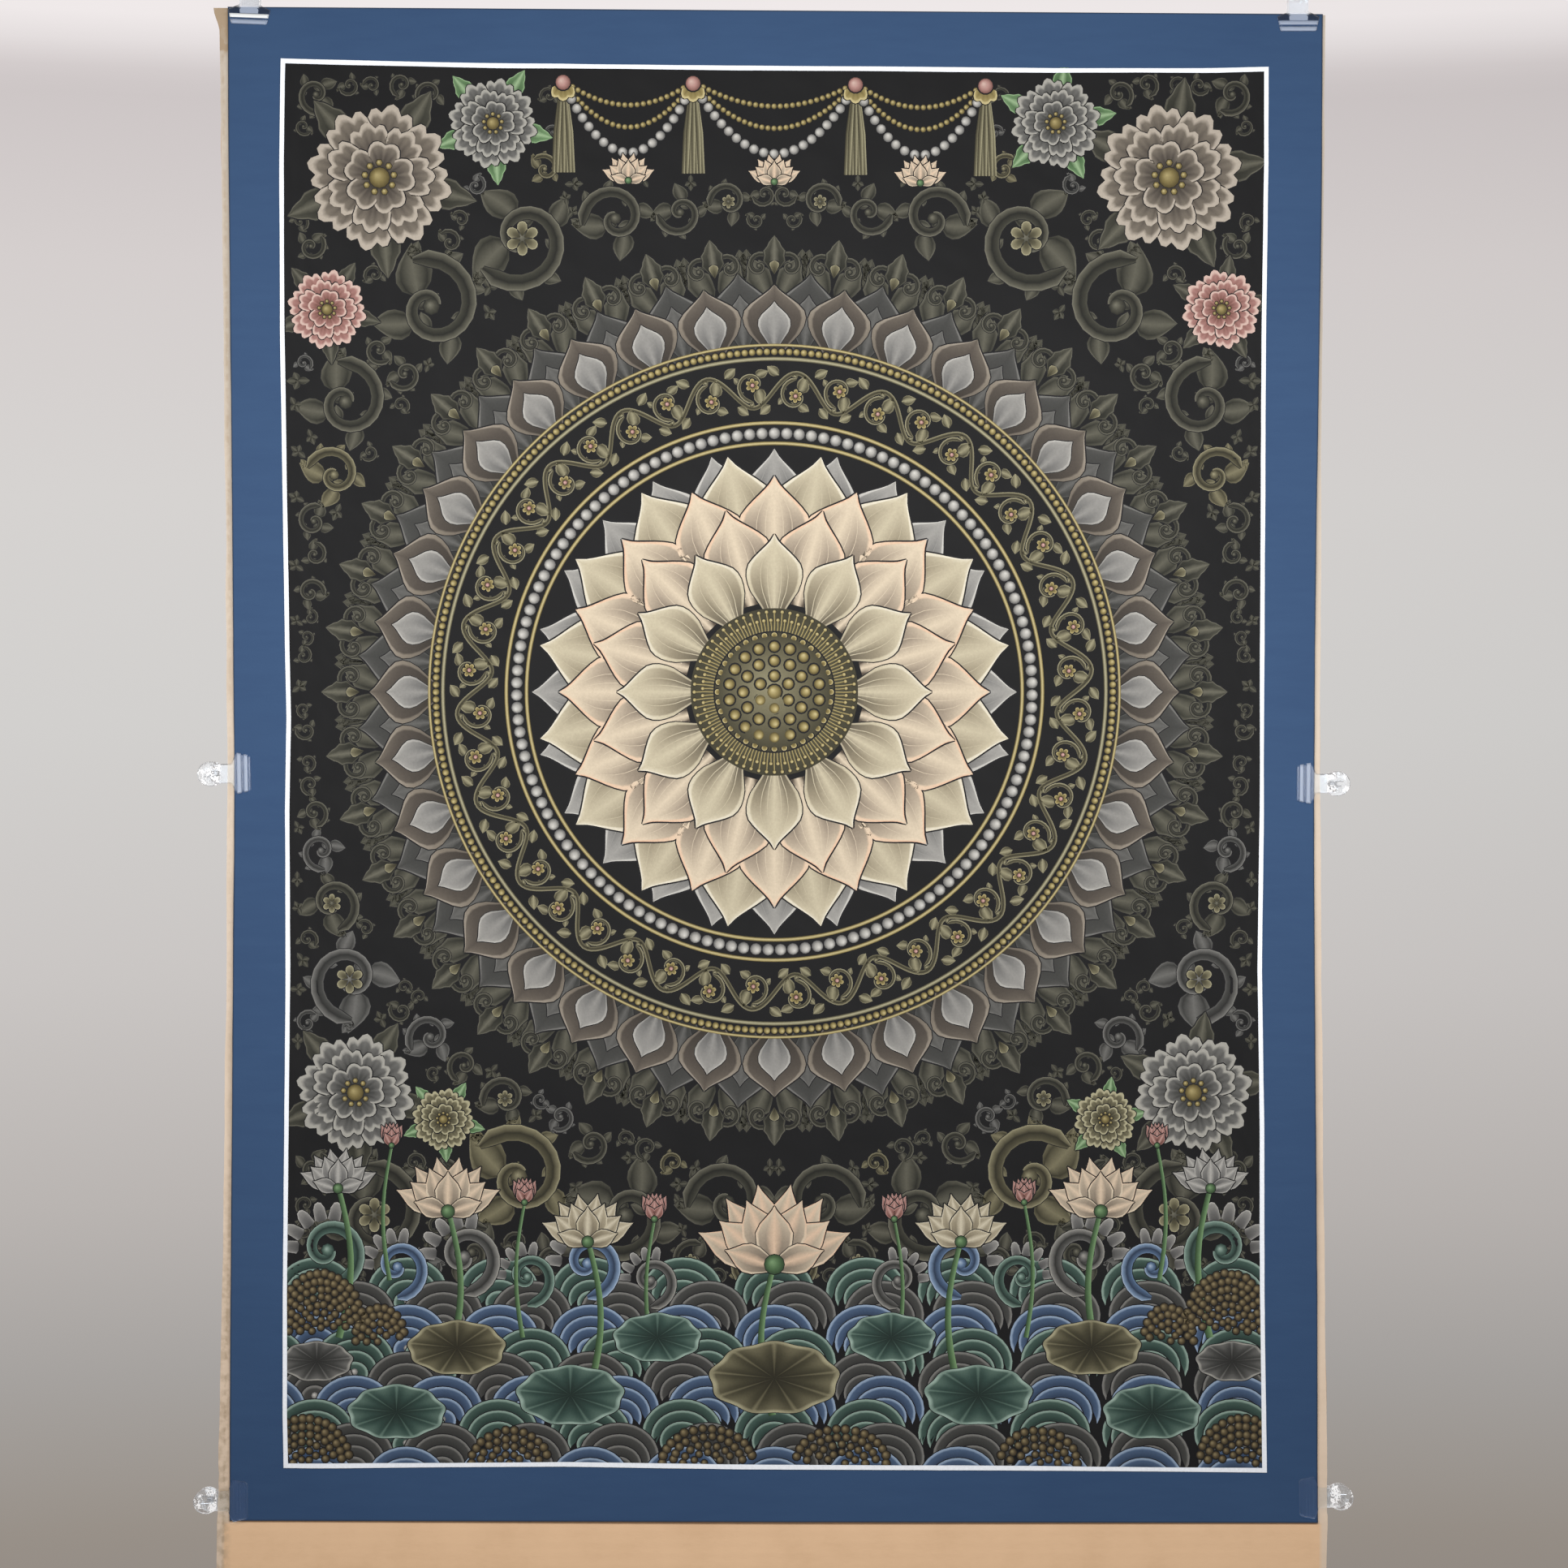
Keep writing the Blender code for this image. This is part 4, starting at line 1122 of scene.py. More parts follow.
class THANGKA_OT_vines(bpy.types.Operator):
    """Grows dark leafy scrolls from the corner peonies until they fill the black ground"""
    bl_idname = "thangka.vines"
    bl_label = "Scrolling vines"

    def execute(self, context):
        sizes = context.scene.thangka_picture
        chance = np.random.default_rng(sizes.seed)
        blocked = [(x, y, radius + 4) for x, y, radius, _, _ in PEONIES]
        placed = self.scrolls(chance, sizes.up * 1000, blocked)
        brush = Brush(21)
        self.sprigs(brush, chance, sizes.up * 1000, blocked, placed)
        for n, (x, y, radius, hand, angle) in enumerate(placed):
            pigment, light = "slate_grey", 1.0
            if radius > 8 and (n * 7) % 11 == 0:
                pigment, light = "khaki", 0.82
            elif (n * 5) % 7 == 0:
                pigment, light = "stone_grey", 0.72
            steps, leaves = (26, 9) if radius > 9 else (18, 7)
            for flip in (1, -1):
                brush.volute((flip * x, y), radius, angle if flip > 0 else math.pi - angle,
                             hand * flip, pigment, 0.0, turns=1.25, width=0.3, steps=steps,
                             leaves=leaves, light=light)
        for x, y, radius, _, _ in placed[1::3]:
            for flip in ((1, -1) if radius > 12 else ()):
                rosette(brush, (flip * x, y), radius * 0.3, "khaki", 2.4)
        paint("scrolling_vines", brush.arrays())
        return {"FINISHED"}

    def scrolls(self, chance, up, blocked):
        """Scrolls of shrinking size, each touching one before it: place, radius, hand and angle."""
        grown_at = [(x, y, radius + 4.1, 1, 0.0) for x, y, radius, _, _ in PEONIES]
        placed = []
        for radius in (34.0, 28.0, 23.0, 19.0, 16.0, 13.5, 11.5, 9.8, 8.4, 7.2, 6.2, 5.4):
            for attempt in range(1500):
                px, py, pr, hand, _ = grown_at[chance.integers(len(grown_at))]
                angle = chance.uniform(0, math.tau)
                x, y = px + (pr + radius) * math.cos(angle), py + (pr + radius) * math.sin(angle)
                if attempt > 700 and radius < 20:
                    x, y = chance.uniform(-FIELD_SIDE, 0), chance.uniform(WATER_TOP, FIELD_TOP)
                outside = (x + radius > 3.0 or x - radius < -FIELD_SIDE
                           or y - radius < WATER_TOP - 14
                           or y + radius > FIELD_TOP - TOP_FALL * x)
                on_medallion = math.hypot(x, y - up) < MEDALLION - 8 + radius * 0.96
                under_swags = y + radius > 352 and x > -SWAG_REACH - radius
                if (outside or on_medallion or under_swags or touches(x, y, radius, blocked)
                        or touches(x, y, radius, placed, 0.93)):
                    continue
                placed.append((x, y, radius, -hand, angle + math.pi))
                grown_at.append(placed[-1])
        return placed

    def sprigs(self, brush, chance, up, blocked, placed):
        """Sprigs of four leaves in what room the scrolls have left."""
        taken = [(x, y, radius * 0.86) for x, y, radius, _, _ in placed]
        taken += [(x, y, radius + 2) for x, y, radius in blocked]
        for _ in range(9000):
            x, y = chance.uniform(-288, -2), chance.uniform(WATER_TOP, 412)
            size = chance.uniform(4.5, 7.5)
            on_medallion = math.hypot(x, y - up) < MEDALLION - 6 + size
            under_swags = y + size > 356 and x > -SWAG_REACH - size
            if on_medallion or under_swags or touches(x, y, size * 0.8, taken):
                continue
            taken.append((x, y, size))
            turn = chance.uniform(0, math.tau)
            for flip in (1, -1):
                for lean, share in ((-1.15, 0.8), (0.0, 1.0), (1.15, 0.8), (math.pi, 1.0)):
                    brush.petal((flip * x, y), size * share, size * 0.62, flip * (turn + lean),
                                "slate_grey", -0.6, **{**SMALL_LEAF, "outline": 0.35},
                                shade=(0.1, 0.62), rim=0.9, vein=0.75, rows=8)


class THANGKA_OT_peonies(bpy.types.Operator):
    """Paints the peonies in the corners and the small flowers and leaves between them"""
    bl_idname = "thangka.peonies"
    bl_label = "Peonies"

    def execute(self, context):
        brush = Brush(31)
        for x, y, radius, pigment, leaf in PEONIES:
            for flip in (1, -1):
                peony(brush, (flip * x, y), radius, pigment, 4.0, leaf=leaf, turn=flip * 0.2)
        paint("peonies", brush.arrays())
        return {"FINISHED"}


class THANGKA_OT_garlands(bpy.types.Operator):
    """Hangs strings of pearls with tassels from the top of the picture"""
    bl_idname = "thangka.garlands"
    bl_label = "Pearl garlands"

    def execute(self, context):
        path = path_tree()
        shapes, brush = [], Brush(41)
        knots = [-SWAG_REACH, -SWAG_REACH / 2.6, SWAG_REACH / 2.6, SWAG_REACH]
        pearl, grain = Brush(42), Brush(43)
        pearl.disc((0, 0), 2.9, "pearl_grey", 4.0, **PEARL)
        grain.disc((0, 0), 1.7, "gold", 3.0, shade=(1.0, 0.62, 0.15), sides=10, shine=0.3,
                   outline=0.4)
        t = np.linspace(0, 1, 41)
        for left, right in zip(knots, knots[1:]):
            x, middle = left + (right - left) * t, (left + right) / 2
            for drop, bead, spacing in ((43.0, pearl, 6.1), (28.0, grain, 3.6), (15.0, grain, 3.6)):
                swag = np.stack([x, 409.0 - drop * np.sin(np.pi * t) ** 0.8 - TOP_FALL * x], -1)
                shapes.append(bead.repeat(path, {"Spacing": spacing}, path=swag))
            side_lotus(brush, (middle, 349.0 - TOP_FALL * middle), 17.0, "blush", 5.0, light=0.95)
        for x in knots:
            y = 408.0 - TOP_FALL * x
            # A tassel of seven threads under a gold cap.
            for i in range(7):
                lean = (i - 3) * 0.9
                thread = [(x + lean * 0.7, y - 6), (x + lean * 1.7, y - 30),
                          (x + lean * 2.2, y - 54)]
                brush.stroke(thread, (1.5, 2.6, 2.0), "khaki", 3.0 + 0.1 * (i % 2),
                             shade=(0.9, 0.5, 0.1), columns=PLAIN[[0, 2, 4]])
            brush.scallop((x, y + 3), 15.0, 0.75, math.pi, "gold", 5.0, depth=0.12,
                          shade=(0.2, 0.75), root=0.1)
            brush.disc((x, y - 1.0), 4.4, "rose", 6.5, shade=(1.0, 0.7, 0.3), sides=14, shine=0.3,
                       outline=0.9)
        shapes.append(brush.arrays())
        paint("pearl_garlands", *shapes)
        return {"FINISHED"}


class THANGKA_OT_water(bpy.types.Operator):
    """Paints rows of scale-shaped waves at the picture's foot, with lotuses growing from them"""
    bl_idname = "thangka.water"
    bl_label = "Waves and lotuses"

    def execute(self, context):
        self.waves()
        self.pond()
        self.berries()
        return {"FINISHED"}

    def waves(self):
        """Nine rows of waves like fish scales, each row over the one before it."""
        path, radius, shapes = path_tree(), 30.0, []
        for row in range(9):
            pigment, light = (("river_green", 0.86), ("stone_grey", 0.7),
                              ("water_blue", 0.82))[row % 3]
            brush = Brush(50 + row)
            for rank, (share, root) in enumerate(((1.0, 0.7), (0.78, 0.64), (0.56, 0.5),
                                                  (0.34, 0.0))):
                brush.scallop((0, 0), radius * share, 1.5, 0.0, pigment, 3 + row + rank * 0.16,
                              lobes=1, depth=0.0, shade=(0.08, 0.62 * light), rim=light, root=root,
                              rows=(0, 0.4, 0.8, 0.92, 1.0), steps=19, streaks=0.0, under=0.08)
            brush.disc((0, radius * 0.14), 2.1, "pearl_grey", row + 3.6, shade=(1.0, 0.6, 0.2),
                       sides=8, outline=0)
            ends = [(-330.0 + (row % 2) * radius * 0.86, 0.0), (330.0, 0.0)]
            height = WATER_TOP - 8 - row * 14.0 - radius * 0.55
            shapes.append(brush.repeat(path, {"Spacing": radius * 1.72}, (0, height), ends))
        paint("scale_waves", *shapes)

    def pond(self):
        """Wave crests that curl towards the middle, and lotuses that grow between them."""
        brush = Brush(60)
        for n, (x, y, size) in enumerate(((268, -296, 26), (226, -306, 21), (186, -300, 25),
                                          (148, -312, 19), (112, -304, 23), (74, -314, 18))):
            for flip in (1, -1):
                pigment, at = ("river_green", "water_blue", "stone_grey")[n % 3], (flip * x, y + 6)
                brush.volute(at, size, -math.pi / 2, -flip, pigment, 4.95, turns=1.2, width=0.34,
                             steps=30, leaves=0, light=0.95)
                for i in range(5):
                    brush.scallop(at, size * 1.12, 0.2, flip * (-0.2 + 0.42 * i), "pearl_grey", 3.7,
                                  **PLAIN_PETAL, shade=(0.1, 0.55), rim=0.85, root=0.6)
        # Open flowers on their stems.
        for x, y, size, pigment, light in ((0, -300, 50, "blush", 1.0),
                                           (112, -286, 30, "ivory", 0.9),
                                           (196, -268, 34, "blush", 0.9),
                                           (262, -254, 25, "pearl_grey", 0.9)):
            for flip in mirrored(x):
                stem = [(flip * (x - 8 * math.sin(t * 3)), y + 2 - t * 90)
                        for t in np.linspace(0, 1, 12)]
                brush.stroke(stem, np.linspace(3.0, 4.4, 12), "leaf_green", 12.6,
                             shade=(0.7, 0.4, 0.1))
                side_lotus(brush, (flip * x, y), size, pigment, 14.6, light=light)
        # Round leaves, the lower ones over the upper ones.
        for x, y, size, pigment in ((0, -366, 40, "khaki"), (70, -342, 27, "river_green"),
                                    (122, -376, 33, "river_green"), (190, -348, 30, "khaki"),
                                    (226, -386, 30, "river_green"), (274, -356, 22, "stone_grey")):
            for flip in mirrored(x):
                lotus_leaf(brush, (flip * x, y), size, pigment, 13.4 + (y < -370) * 0.8)
        # Buds.
        for x, y, size in ((150, -262, 15), (230, -228, 14), (72, -272, 16)):
            for flip in mirrored(x):
                stem = [(flip * (x + 5 * math.sin(t * 3)), y - t * 80)
                        for t in np.linspace(0, 1, 10)]
                brush.stroke(stem, np.linspace(1.8, 2.8, 10), "leaf_green", 12.4,
                             shade=(0.7, 0.4, 0.1))
                side_lotus(brush, (flip * x, y), size, "rose", 14.6, light=0.95, open_share=0.4)
        paint("lotus_pond", brush.arrays())

    def berries(self):
        """Mounds of berries on the banks, laid in arches from the foot up."""
        brush, rise, gap = Brush(61), 4.6, 4.9
        for cx, cy, wide, high in ((272, -338, 26, 34), (236, -344, 15, 20), (280, -416, 26, 26),
                                   (40, -416, 27, 20), (158, -416, 23, 19)):
            for flip in (1, -1):
                for arch in range(int(high / rise) + 1):
                    share = 1 - arch * rise / high
                    count = max(1, round(math.pi * (wide + high) / 2 * share / gap))
                    for n in range(count):
                        angle = (n + 0.5 * (arch % 2)) / count * math.pi
                        x = wide * share * math.cos(angle) + brush.chance.uniform(-0.4, 0.4)
                        y = high * share * math.sin(angle) + brush.chance.uniform(-0.4, 0.4)
                        size = 2.5 * (0.75 + 0.25 * share) + brush.chance.uniform(0, 0.3)
                        brush.disc((flip * (cx + x), cy + y), size, "bark_brown",
                                   15.0 + 0.22 * arch + 0.1 * (n % 2), sides=9, shine=0.3,
                                   outline=0.4)
        paint("berry_clusters", brush.arrays())


class THANGKA_OT_board(bpy.types.Operator):
    """Builds the card board: two kraft liners with a waved paper between them"""
    bl_idname = "thangka.board"
    bl_label = "Corrugated board"

    def execute(self, context):
        sizes = context.scene.thangka_board
        card = self.card(sizes, "Kraft card, pressed liner", True)
        raw = self.card(sizes, "Kraft card, waved paper", False)
        rim = 1 - np.array((0, 0.003, 0.0055, 0.0075, 0.011, 0.0145, 0.019, 0.027))
        share = np.concatenate([-rim, np.linspace(-0.96, 0.96, 37), rim[::-1]])[None, :]
        foot = (CANVAS_HEIGHT - CANVAS_TOP) / BOARD_HEIGHT
        down = np.unique(np.concatenate([np.linspace(0, 0.03, 10), np.linspace(0.03, 1, 74),
                                         (foot, foot + 0.002), np.linspace(0.905, 0.934, 8)]))[
                :, None]
        chance = np.random.default_rng(8)
        for name, side in (("board_front_liner", -1), ("board_back_liner", 1)):
            grid = self.point(*np.broadcast_arrays(share, down))
            # The cut sides are ragged and stand 0.2 mm in, but for the top corners.
            for column, inwards in ((0, 1), (-1, -1)):
                ragged = 0.00035 * wander(chance, len(down), 3, 4) * (down[:, 0] > 0.03)
                grid[:, column, 0] += ragged + inwards * 0.0002
            marks = dict.fromkeys(("faded", "crushed_and_shadowed"), 0 * (share + down))
            if side < 0:
                # The top left corner of the front paper is torn and splays out.
                torn = smooth(1 - down * BOARD_HEIGHT / TEAR_LENGTH) * (share < -0.97)
                grid[..., 0] -= TEAR_WIDTH * torn * smooth((-share - 0.97) / 0.03)
                marks = self.wear(share, down, foot)
            half = BOARD_THICKNESS / 2
            outer, inner = (grid + np.array([0, side * away - half, 0])
                            for away in (half, half - sizes.liner))
            points, faces = closed_sheet(*((outer, inner) if side < 0 else (inner, outer)))
            mesh = new_mesh(name, points, faces, **{mark: np.tile(value.ravel(), 2) for mark,
                                                    value in marks.items()})
            piece = new_piece(name, mesh, card)
            piece.data.set_sharp_from_angle(angle=0.6)
            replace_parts(piece, "backing_board")
        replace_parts(new_piece("board_flutes", self.flutes(sizes, raw), raw),
                    "backing_board")
        return {"FINISHED"}

    def wear(self, share, down, foot):
        """Per share of width and height: how far the front liner is bleached, dented and painted
        with the low clip's shadow.
        """
        inset = (1 - np.abs(share)) * 330 + 0 * down          # from the side, in millimetres
        faded = np.clip(smooth((9.5 - inset) / 4.0) * (down <= foot) + smooth((4.5 - inset) / 1.5),
                        0, 1)
        low_part = smooth((down - 0.68) / 0.12)
        crease = 1.9 + 1.9 * smooth((down - 0.5) / 0.35)
        worn = 0.55 - 0.3 * smooth((down - 0.3) / 0.2) + 0.55 * low_part
        creased = worn * np.exp(-((inset - crease) / 1.2) ** 2)
        crumpled = 0.5 * low_part * smooth((8 - inset) / 3)
        # A painted shadow of the low clip's neck and spring lies on the card, and the torn corner
        # has browned.
        clip_shadow = np.exp(-((down * BOARD_HEIGHT - 0.889) / 0.008) ** 2) * (inset > 1.5) * (inset < 9)
        torn = smooth((0.03 - down) / 0.012) * (share < -0.96)
        crushed_and_shadowed = np.max([creased, crumpled, 1.2 * clip_shadow, 3.4 * torn], axis=0) * (share < 0)
        return {"faded": faded, "crushed_and_shadowed": crushed_and_shadowed}

    def flutes(self, sizes, raw):
        """The waved paper between the liners, bent onto the board's bow."""
        gauge, play = 0.00025, 0.00006          # the paper's thickness and the air round it
        wave_height = BOARD_THICKNESS - 2 * sizes.liner - gauge - play
        mesh = grown(flute_tree(), {"Width": 2.0, "Length": BOARD_HEIGHT - 0.0006,
                                    "Pitch": sizes.pitch, "Height": wave_height, "Gauge": gauge,
                                    "Material": raw})
        flat = points_of(mesh)
        bent = self.point(flat[:, 0] * 0.9985, 0.5 - flat[:, 1] / BOARD_HEIGHT)
        bent[:, 1] += flat[:, 2] - (BOARD_THICKNESS + gauge) / 2
        mesh.vertices.foreach_set("co", bent.astype(np.float32).ravel())
        mesh.update()
        return mesh

    def point(self, share, down):
        """Points in the board's back plane at each share of its width and of its height."""
        depth = down * BOARD_HEIGHT
        x = edge_x(BOARD_OUTLINE, share, depth)
        return np.stack([x, bow(-depth), -depth - TOP_SLOPE * x * (1 - down)], -1)

    def card(self, sizes, name, liner):
        """Unbleached kraft paper: warm tan and matt, with the darker fibres of recycled pulp."""
        material, tree, surface = new_material(name, **{"Roughness": 0.88,
                                                        "Specular IOR Level": 0.3})
        place = own_place(tree)
        tan = tuple(np.array(sizes.card) * ((1, 1, 1, 1) if liner else (0.72, 0.66, 0.58, 1)))
        # Cloudy pulp of about 30 mm, and fibres of 2 mm drawn out sideways.
        cloud = noise(tree, place, 34.0, 3.0)
        fibre = noise(tree, drawn_out(tree, place, 0.35, 1.0, 1.0), 520.0, 4.0, Roughness=0.7)
        tint = ramp(tree, weighted(tree, cloud, 0.72, fibre, 0.28),
                    tints((1, 1, 1, 1), (0.34, (0.95, 0.94, 0.925)), (0.5, (1, 1, 1)),
                          (0.66, (1.03, 1.035, 1.04))))
        normal = bump(tree, fibre, 0.25, 0.0003)
        if liner:
            # The sides are bleached, the left one is dented in marks about 4 mm apart, and the same
            # marks paint the low clip's shadow.
            height = add(tree, "ShaderNodeSeparateXYZ", {0: place}).outputs["Z"]
            bleached = mix(tree, remap(tree, height, (-0.2, -0.85)), sizes.faded, sizes.faded_low)
            tan = mix(tree, attribute(tree, "faded"), tan, bleached)
            dents = remap(tree, noise(tree, place, 240.0, 2.0), (0.38, 0.6), (0.25, 1.0))
            tan = mix(tree, maths(tree, "MULTIPLY", attribute(tree, "crushed_and_shadowed"), dents), tan,
                      sizes.bruised_and_shadowed)
            # The flutes print through the liner at their pitch.
            flutes = bands(tree, place, sizes.pitch, "Z", Distortion=0.4)
            normal = bump(tree, flutes, 0.10, 0.0004, Normal=normal)
        dress(tree, surface, Base_Color=mix(tree, 1.0, tan, tint, "MULTIPLY"), Normal=normal)
        return material


# A clip's lever: u runs onto the canvas, v along its edge and w away from its face.
LEVER_THICK, HEAD_RISE, FILLET = 0.0018, 0.0026, 0.0006
JAW_TIP, JAW_BACK, NECK_START, PIVOT, HEAD = 0.0098, 0.0010, -0.0006, -0.0125, -0.0146
TIP_HALF, BACK_HALF, NECK_HALF, HEAD_RADIUS, JAW_CORNER = 0.0106, 0.0125, 0.0058, 0.0074, 0.0012
RIB_HALF, RIB_TOP, GRIP_HALF, GRIP_RIB = 0.00135, 0.00125, 0.0006, 0.0005
GRIP_PLACES = (-0.0143, -0.0168, -0.0193)
CHEEK_PLACE, CHEEK_HALF, CHEEK_RADIUS = 0.0042, 0.0009, 0.0019
WIRE_RADIUS, COIL_RADIUS = 0.00045, 0.0024
# How far onto the canvas the two ribs of a jaw lie.
RIB_PLACES = {"top": (0.0048, 0.0083), "side": (0.0027, 0.0069)}


class THANGKA_OT_clips(bpy.types.Operator):
    """Moulds the six clear plastic clips and gives their springs a bright steel finish"""
    bl_idname = "thangka.clips"
    bl_label = "Spring clips"

    def execute(self, context):
        sizes = context.scene.thangka_clips
        finishes, steel = self.finishes(sizes), self.steel(sizes)
        for name, edge, place, inset, turn in CLIPS:
            at = self.clip_frame(edge, place, inset, turn)
            # The side and top clips get painted rib highlights, the top ones painted shoulder
            # shade, and the top left one a painted glint on its first rib (the worn flag).
            points, faces, kinds = self.lever(sizes.rib,
                                              RIB_PLACES["top" if edge == "top" else "side"],
                                              rib_highlights=not name.startswith("low"),
                                              top_shade_and_highlight=edge == "top", worn=name == "top_left")
            for side, flip in (("front", Matrix.Identity(4)),
                               ("rear", Matrix.Rotation(math.pi, 4, "X"))):
                mesh = new_mesh(f"clip_{name}_{side}_lever", points, faces)
                mesh.transform(at @ flip)
                mesh.update()
                for finish in finishes:
                    mesh.materials.append(finish)
                mesh.polygons.foreach_set("material_index", kinds)
                piece = new_piece(f"{name}_{side}_lever", mesh, None)
                piece.data.set_sharp_from_angle(angle=0.9)
                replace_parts(piece, f"clip_{name}_{side}_lever")
            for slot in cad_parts[f"clip_{name}_spring"].material_slots:
                slot.material = steel
        return {"FINISHED"}

    def finishes(self, sizes):
        """The finishes of one lever, in the order of its faces' numbers."""
        flat = (
            # A painted highlight: the ribs' tops, and the top clips' neck roots, show as pale blue
            # bars.
            ("ribs with painted highlight", "#d4deef", 0.32, 0.36),
            # Painted shade: the top clips' jaw shoulders show dark.
            ("shoulders in painted shade", "#23262e", 0.12, 0.55),
            # A painted glint: the first rib of one clip shows nearly white.
            ("rib with painted glint", "#f2f4f2", 0.3, 0.72))
        return [self.plastic(sizes), *(self.clear(name, code, roughness, sizes, Alpha=alpha)[0]
                                       for name, code, roughness, alpha in flat),
                self.glinting_grip(sizes)]

    def lever(self, rib, places, rib_highlights, top_shade_and_highlight, worn):
        """One lever as a closed shell: its points, its faces and each face's finish number."""
        jaw, pivot = HALF_STACK + PIECE_GAP, COIL_RADIUS + WIRE_RADIUS + PIECE_GAP
        head_end, jaw_start = HEAD - HEAD_RADIUS, NECK_START - JAW_CORNER
        even = np.linspace(head_end + 0.00005, JAW_TIP, 34)
        curve = head_end + HEAD_RADIUS * (1 - np.cos(np.linspace(0.12, 1.5, 9)))
        ribs = np.add.outer(places, np.linspace(-0.0015, 0.0015, 9)).ravel()
        grips = np.add.outer(GRIP_PLACES, np.linspace(-0.0007, 0.0007, 5)).ravel()
        rim = JAW_TIP - np.array([0, 0.0002, 0.0006])
        u = np.unique(np.round(np.concatenate([even, ribs, grips, curve, rim]), 6))
        u = u[u <= JAW_TIP]
        seat = np.interp(u, (head_end, PIVOT, JAW_BACK, JAW_TIP),
                         (pivot + HEAD_RISE, pivot, jaw, jaw))[:, None]
        # The half width: a jaw with rounded corners, a neck and a round head.
        corner = np.maximum(u - JAW_TIP + JAW_CORNER, 0) / JAW_CORNER
        jaw_half = np.interp(u, (jaw_start, JAW_BACK, JAW_TIP),
                             (NECK_HALF, BACK_HALF, TIP_HALF)) - 0.0009 * corner ** 2
        head_half = np.sqrt(np.maximum(HEAD_RADIUS ** 2 - (u - HEAD) ** 2, 1e-9))
        half = np.max([jaw_half * (u > jaw_start), head_half * (u < HEAD + HEAD_RADIUS),
                       NECK_HALF * (u > HEAD)], axis=0)
        columns = np.concatenate([[-1, -0.985, -0.94, -0.86], np.linspace(-0.75, 0.75, 11),
                                  [0.86, 0.94, 0.985, 1]])
        v = half[:, None] * columns
        edge = np.minimum(1, (half[:, None] - np.abs(v)) / FILLET)
        end = np.minimum(1, np.minimum(JAW_TIP - u, u - head_end) / FILLET)[:, None]
        fillet = FILLET * (1 - np.sqrt(np.clip(1 - (1 - np.minimum(edge, end)) ** 2, 0, 1)))
        raised = [(at, rib, RIB_HALF) for at in places] + [(at, GRIP_RIB, GRIP_HALF)
                                                           for at in GRIP_PLACES]
        relief = sum(height * np.sqrt(np.clip(1 - ((u - at) / reach) ** 2, 0, 1)) for at, height,
                     reach in raised)
        top = seat + LEVER_THICK + relief[:, None] * np.clip(edge * 0.8 + 0.2, 0, 1) - fillet
        # The two cheeks under the lever hold the spring.
        u = u[:, None]
        cheek = np.clip(1 - ((np.abs(v) - CHEEK_PLACE) / CHEEK_HALF) ** 8, 0, 1)
        low = seat + fillet - cheek * 0.9 * np.sqrt(np.clip(CHEEK_RADIUS ** 2 - (u - PIVOT) ** 2, 0,
                                                            1))
        points, faces = closed_sheet(*(np.stack(np.broadcast_arrays(u, v, w), -1)
                                       for w in (top, low)))
        middle, out = (u[1:] + u[:-1]) / 2, np.abs(v[1:, 1:] + v[:-1, :-1]) / 2
        first, second = (np.abs(middle - at) < RIB_TOP for at in places)
        behind = middle < places[0] - 0.0014
        # On the top clips the shoulders get painted shade and the neck roots a painted highlight.
        shoulder = (middle > -0.0006) & behind & (out > NECK_HALF)
        root = (middle > -0.0004) & behind & (out <= NECK_HALF)
        grip = middle < HEAD + 0.8 * HEAD_RADIUS
        # Finish numbers: 1 a painted highlight on the ribs and the top clips' neck roots, 2 painted
        # shade on the top clips' shoulders, 3 a painted glint on the top left clip's first rib, 4
        # painted glints on the grips.
        kinds = np.zeros(len(faces), np.int32)
        kinds[:out.size] = np.select([grip, first & worn, ((first | second) & rib_highlights)
                                      | (root & top_shade_and_highlight), shoulder & top_shade_and_highlight], [4, 3, 1, 2]).ravel()
        return points, faces, kinds

    def clip_frame(self, edge, place, inset, turn):
        """Where a clip's own axes stand: u onto the canvas, v along the edge, w off the face."""
        side, x, height = {"left": -1.0, "top": 0.0, "right": 1.0}[edge], place, place
        if side:
            x = float(edge_x(CANVAS_OUTLINE, np.array(side), np.array(-height))) - side * inset
        else:
            height = CANVAS_TOP - TOP_SLOPE * x - inset
        slope = BOW_DEPTH * math.pi / BOARD_HEIGHT * math.cos(math.pi * -height / BOARD_HEIGHT)
        inwards = Vector((-side, 0, 0)) if side else Vector((0, slope, -1)).normalized()
        away = Vector((0, -1, -slope)).normalized()
        matrix = Matrix((inwards, away.cross(inwards), away)).transposed().to_4x4()
        matrix.translation = Vector((x, float(bow(height)) - HALF_STACK, height))
        return matrix @ Matrix.Rotation(math.radians(turn), 4, "Z")

    def plastic(self, sizes):
        """Injection-moulded polystyrene, worn a little dull: clear, with soft flow marks."""
        material, tree, surface = self.clear("moulded", "#f4f7fa", 0.25, sizes,
                                             **{"Transmission Weight": 1.0})
        # Flow marks about 4 mm apart.
        dress(tree, surface, Normal=bump(tree, noise(tree, own_place(tree), 250.0, 1.0), 0.12,
                                         0.0004))
        # A lamp's light passes straight through, so that the clip throws only a faint shadow.
        through = add(tree, "ShaderNodeBsdfTransparent", {0: linear("#e4e8ec")}).outputs[0]
        shadow = add(tree, "ShaderNodeLightPath").outputs["Is Shadow Ray"]
        mixed = add(tree, "ShaderNodeMixShader", {0: shadow, 1: surface.outputs[0],
                                                  2: through}).outputs[0]
        tree.links.new(mixed, tree.nodes["Material Output"].inputs["Surface"])
        return material

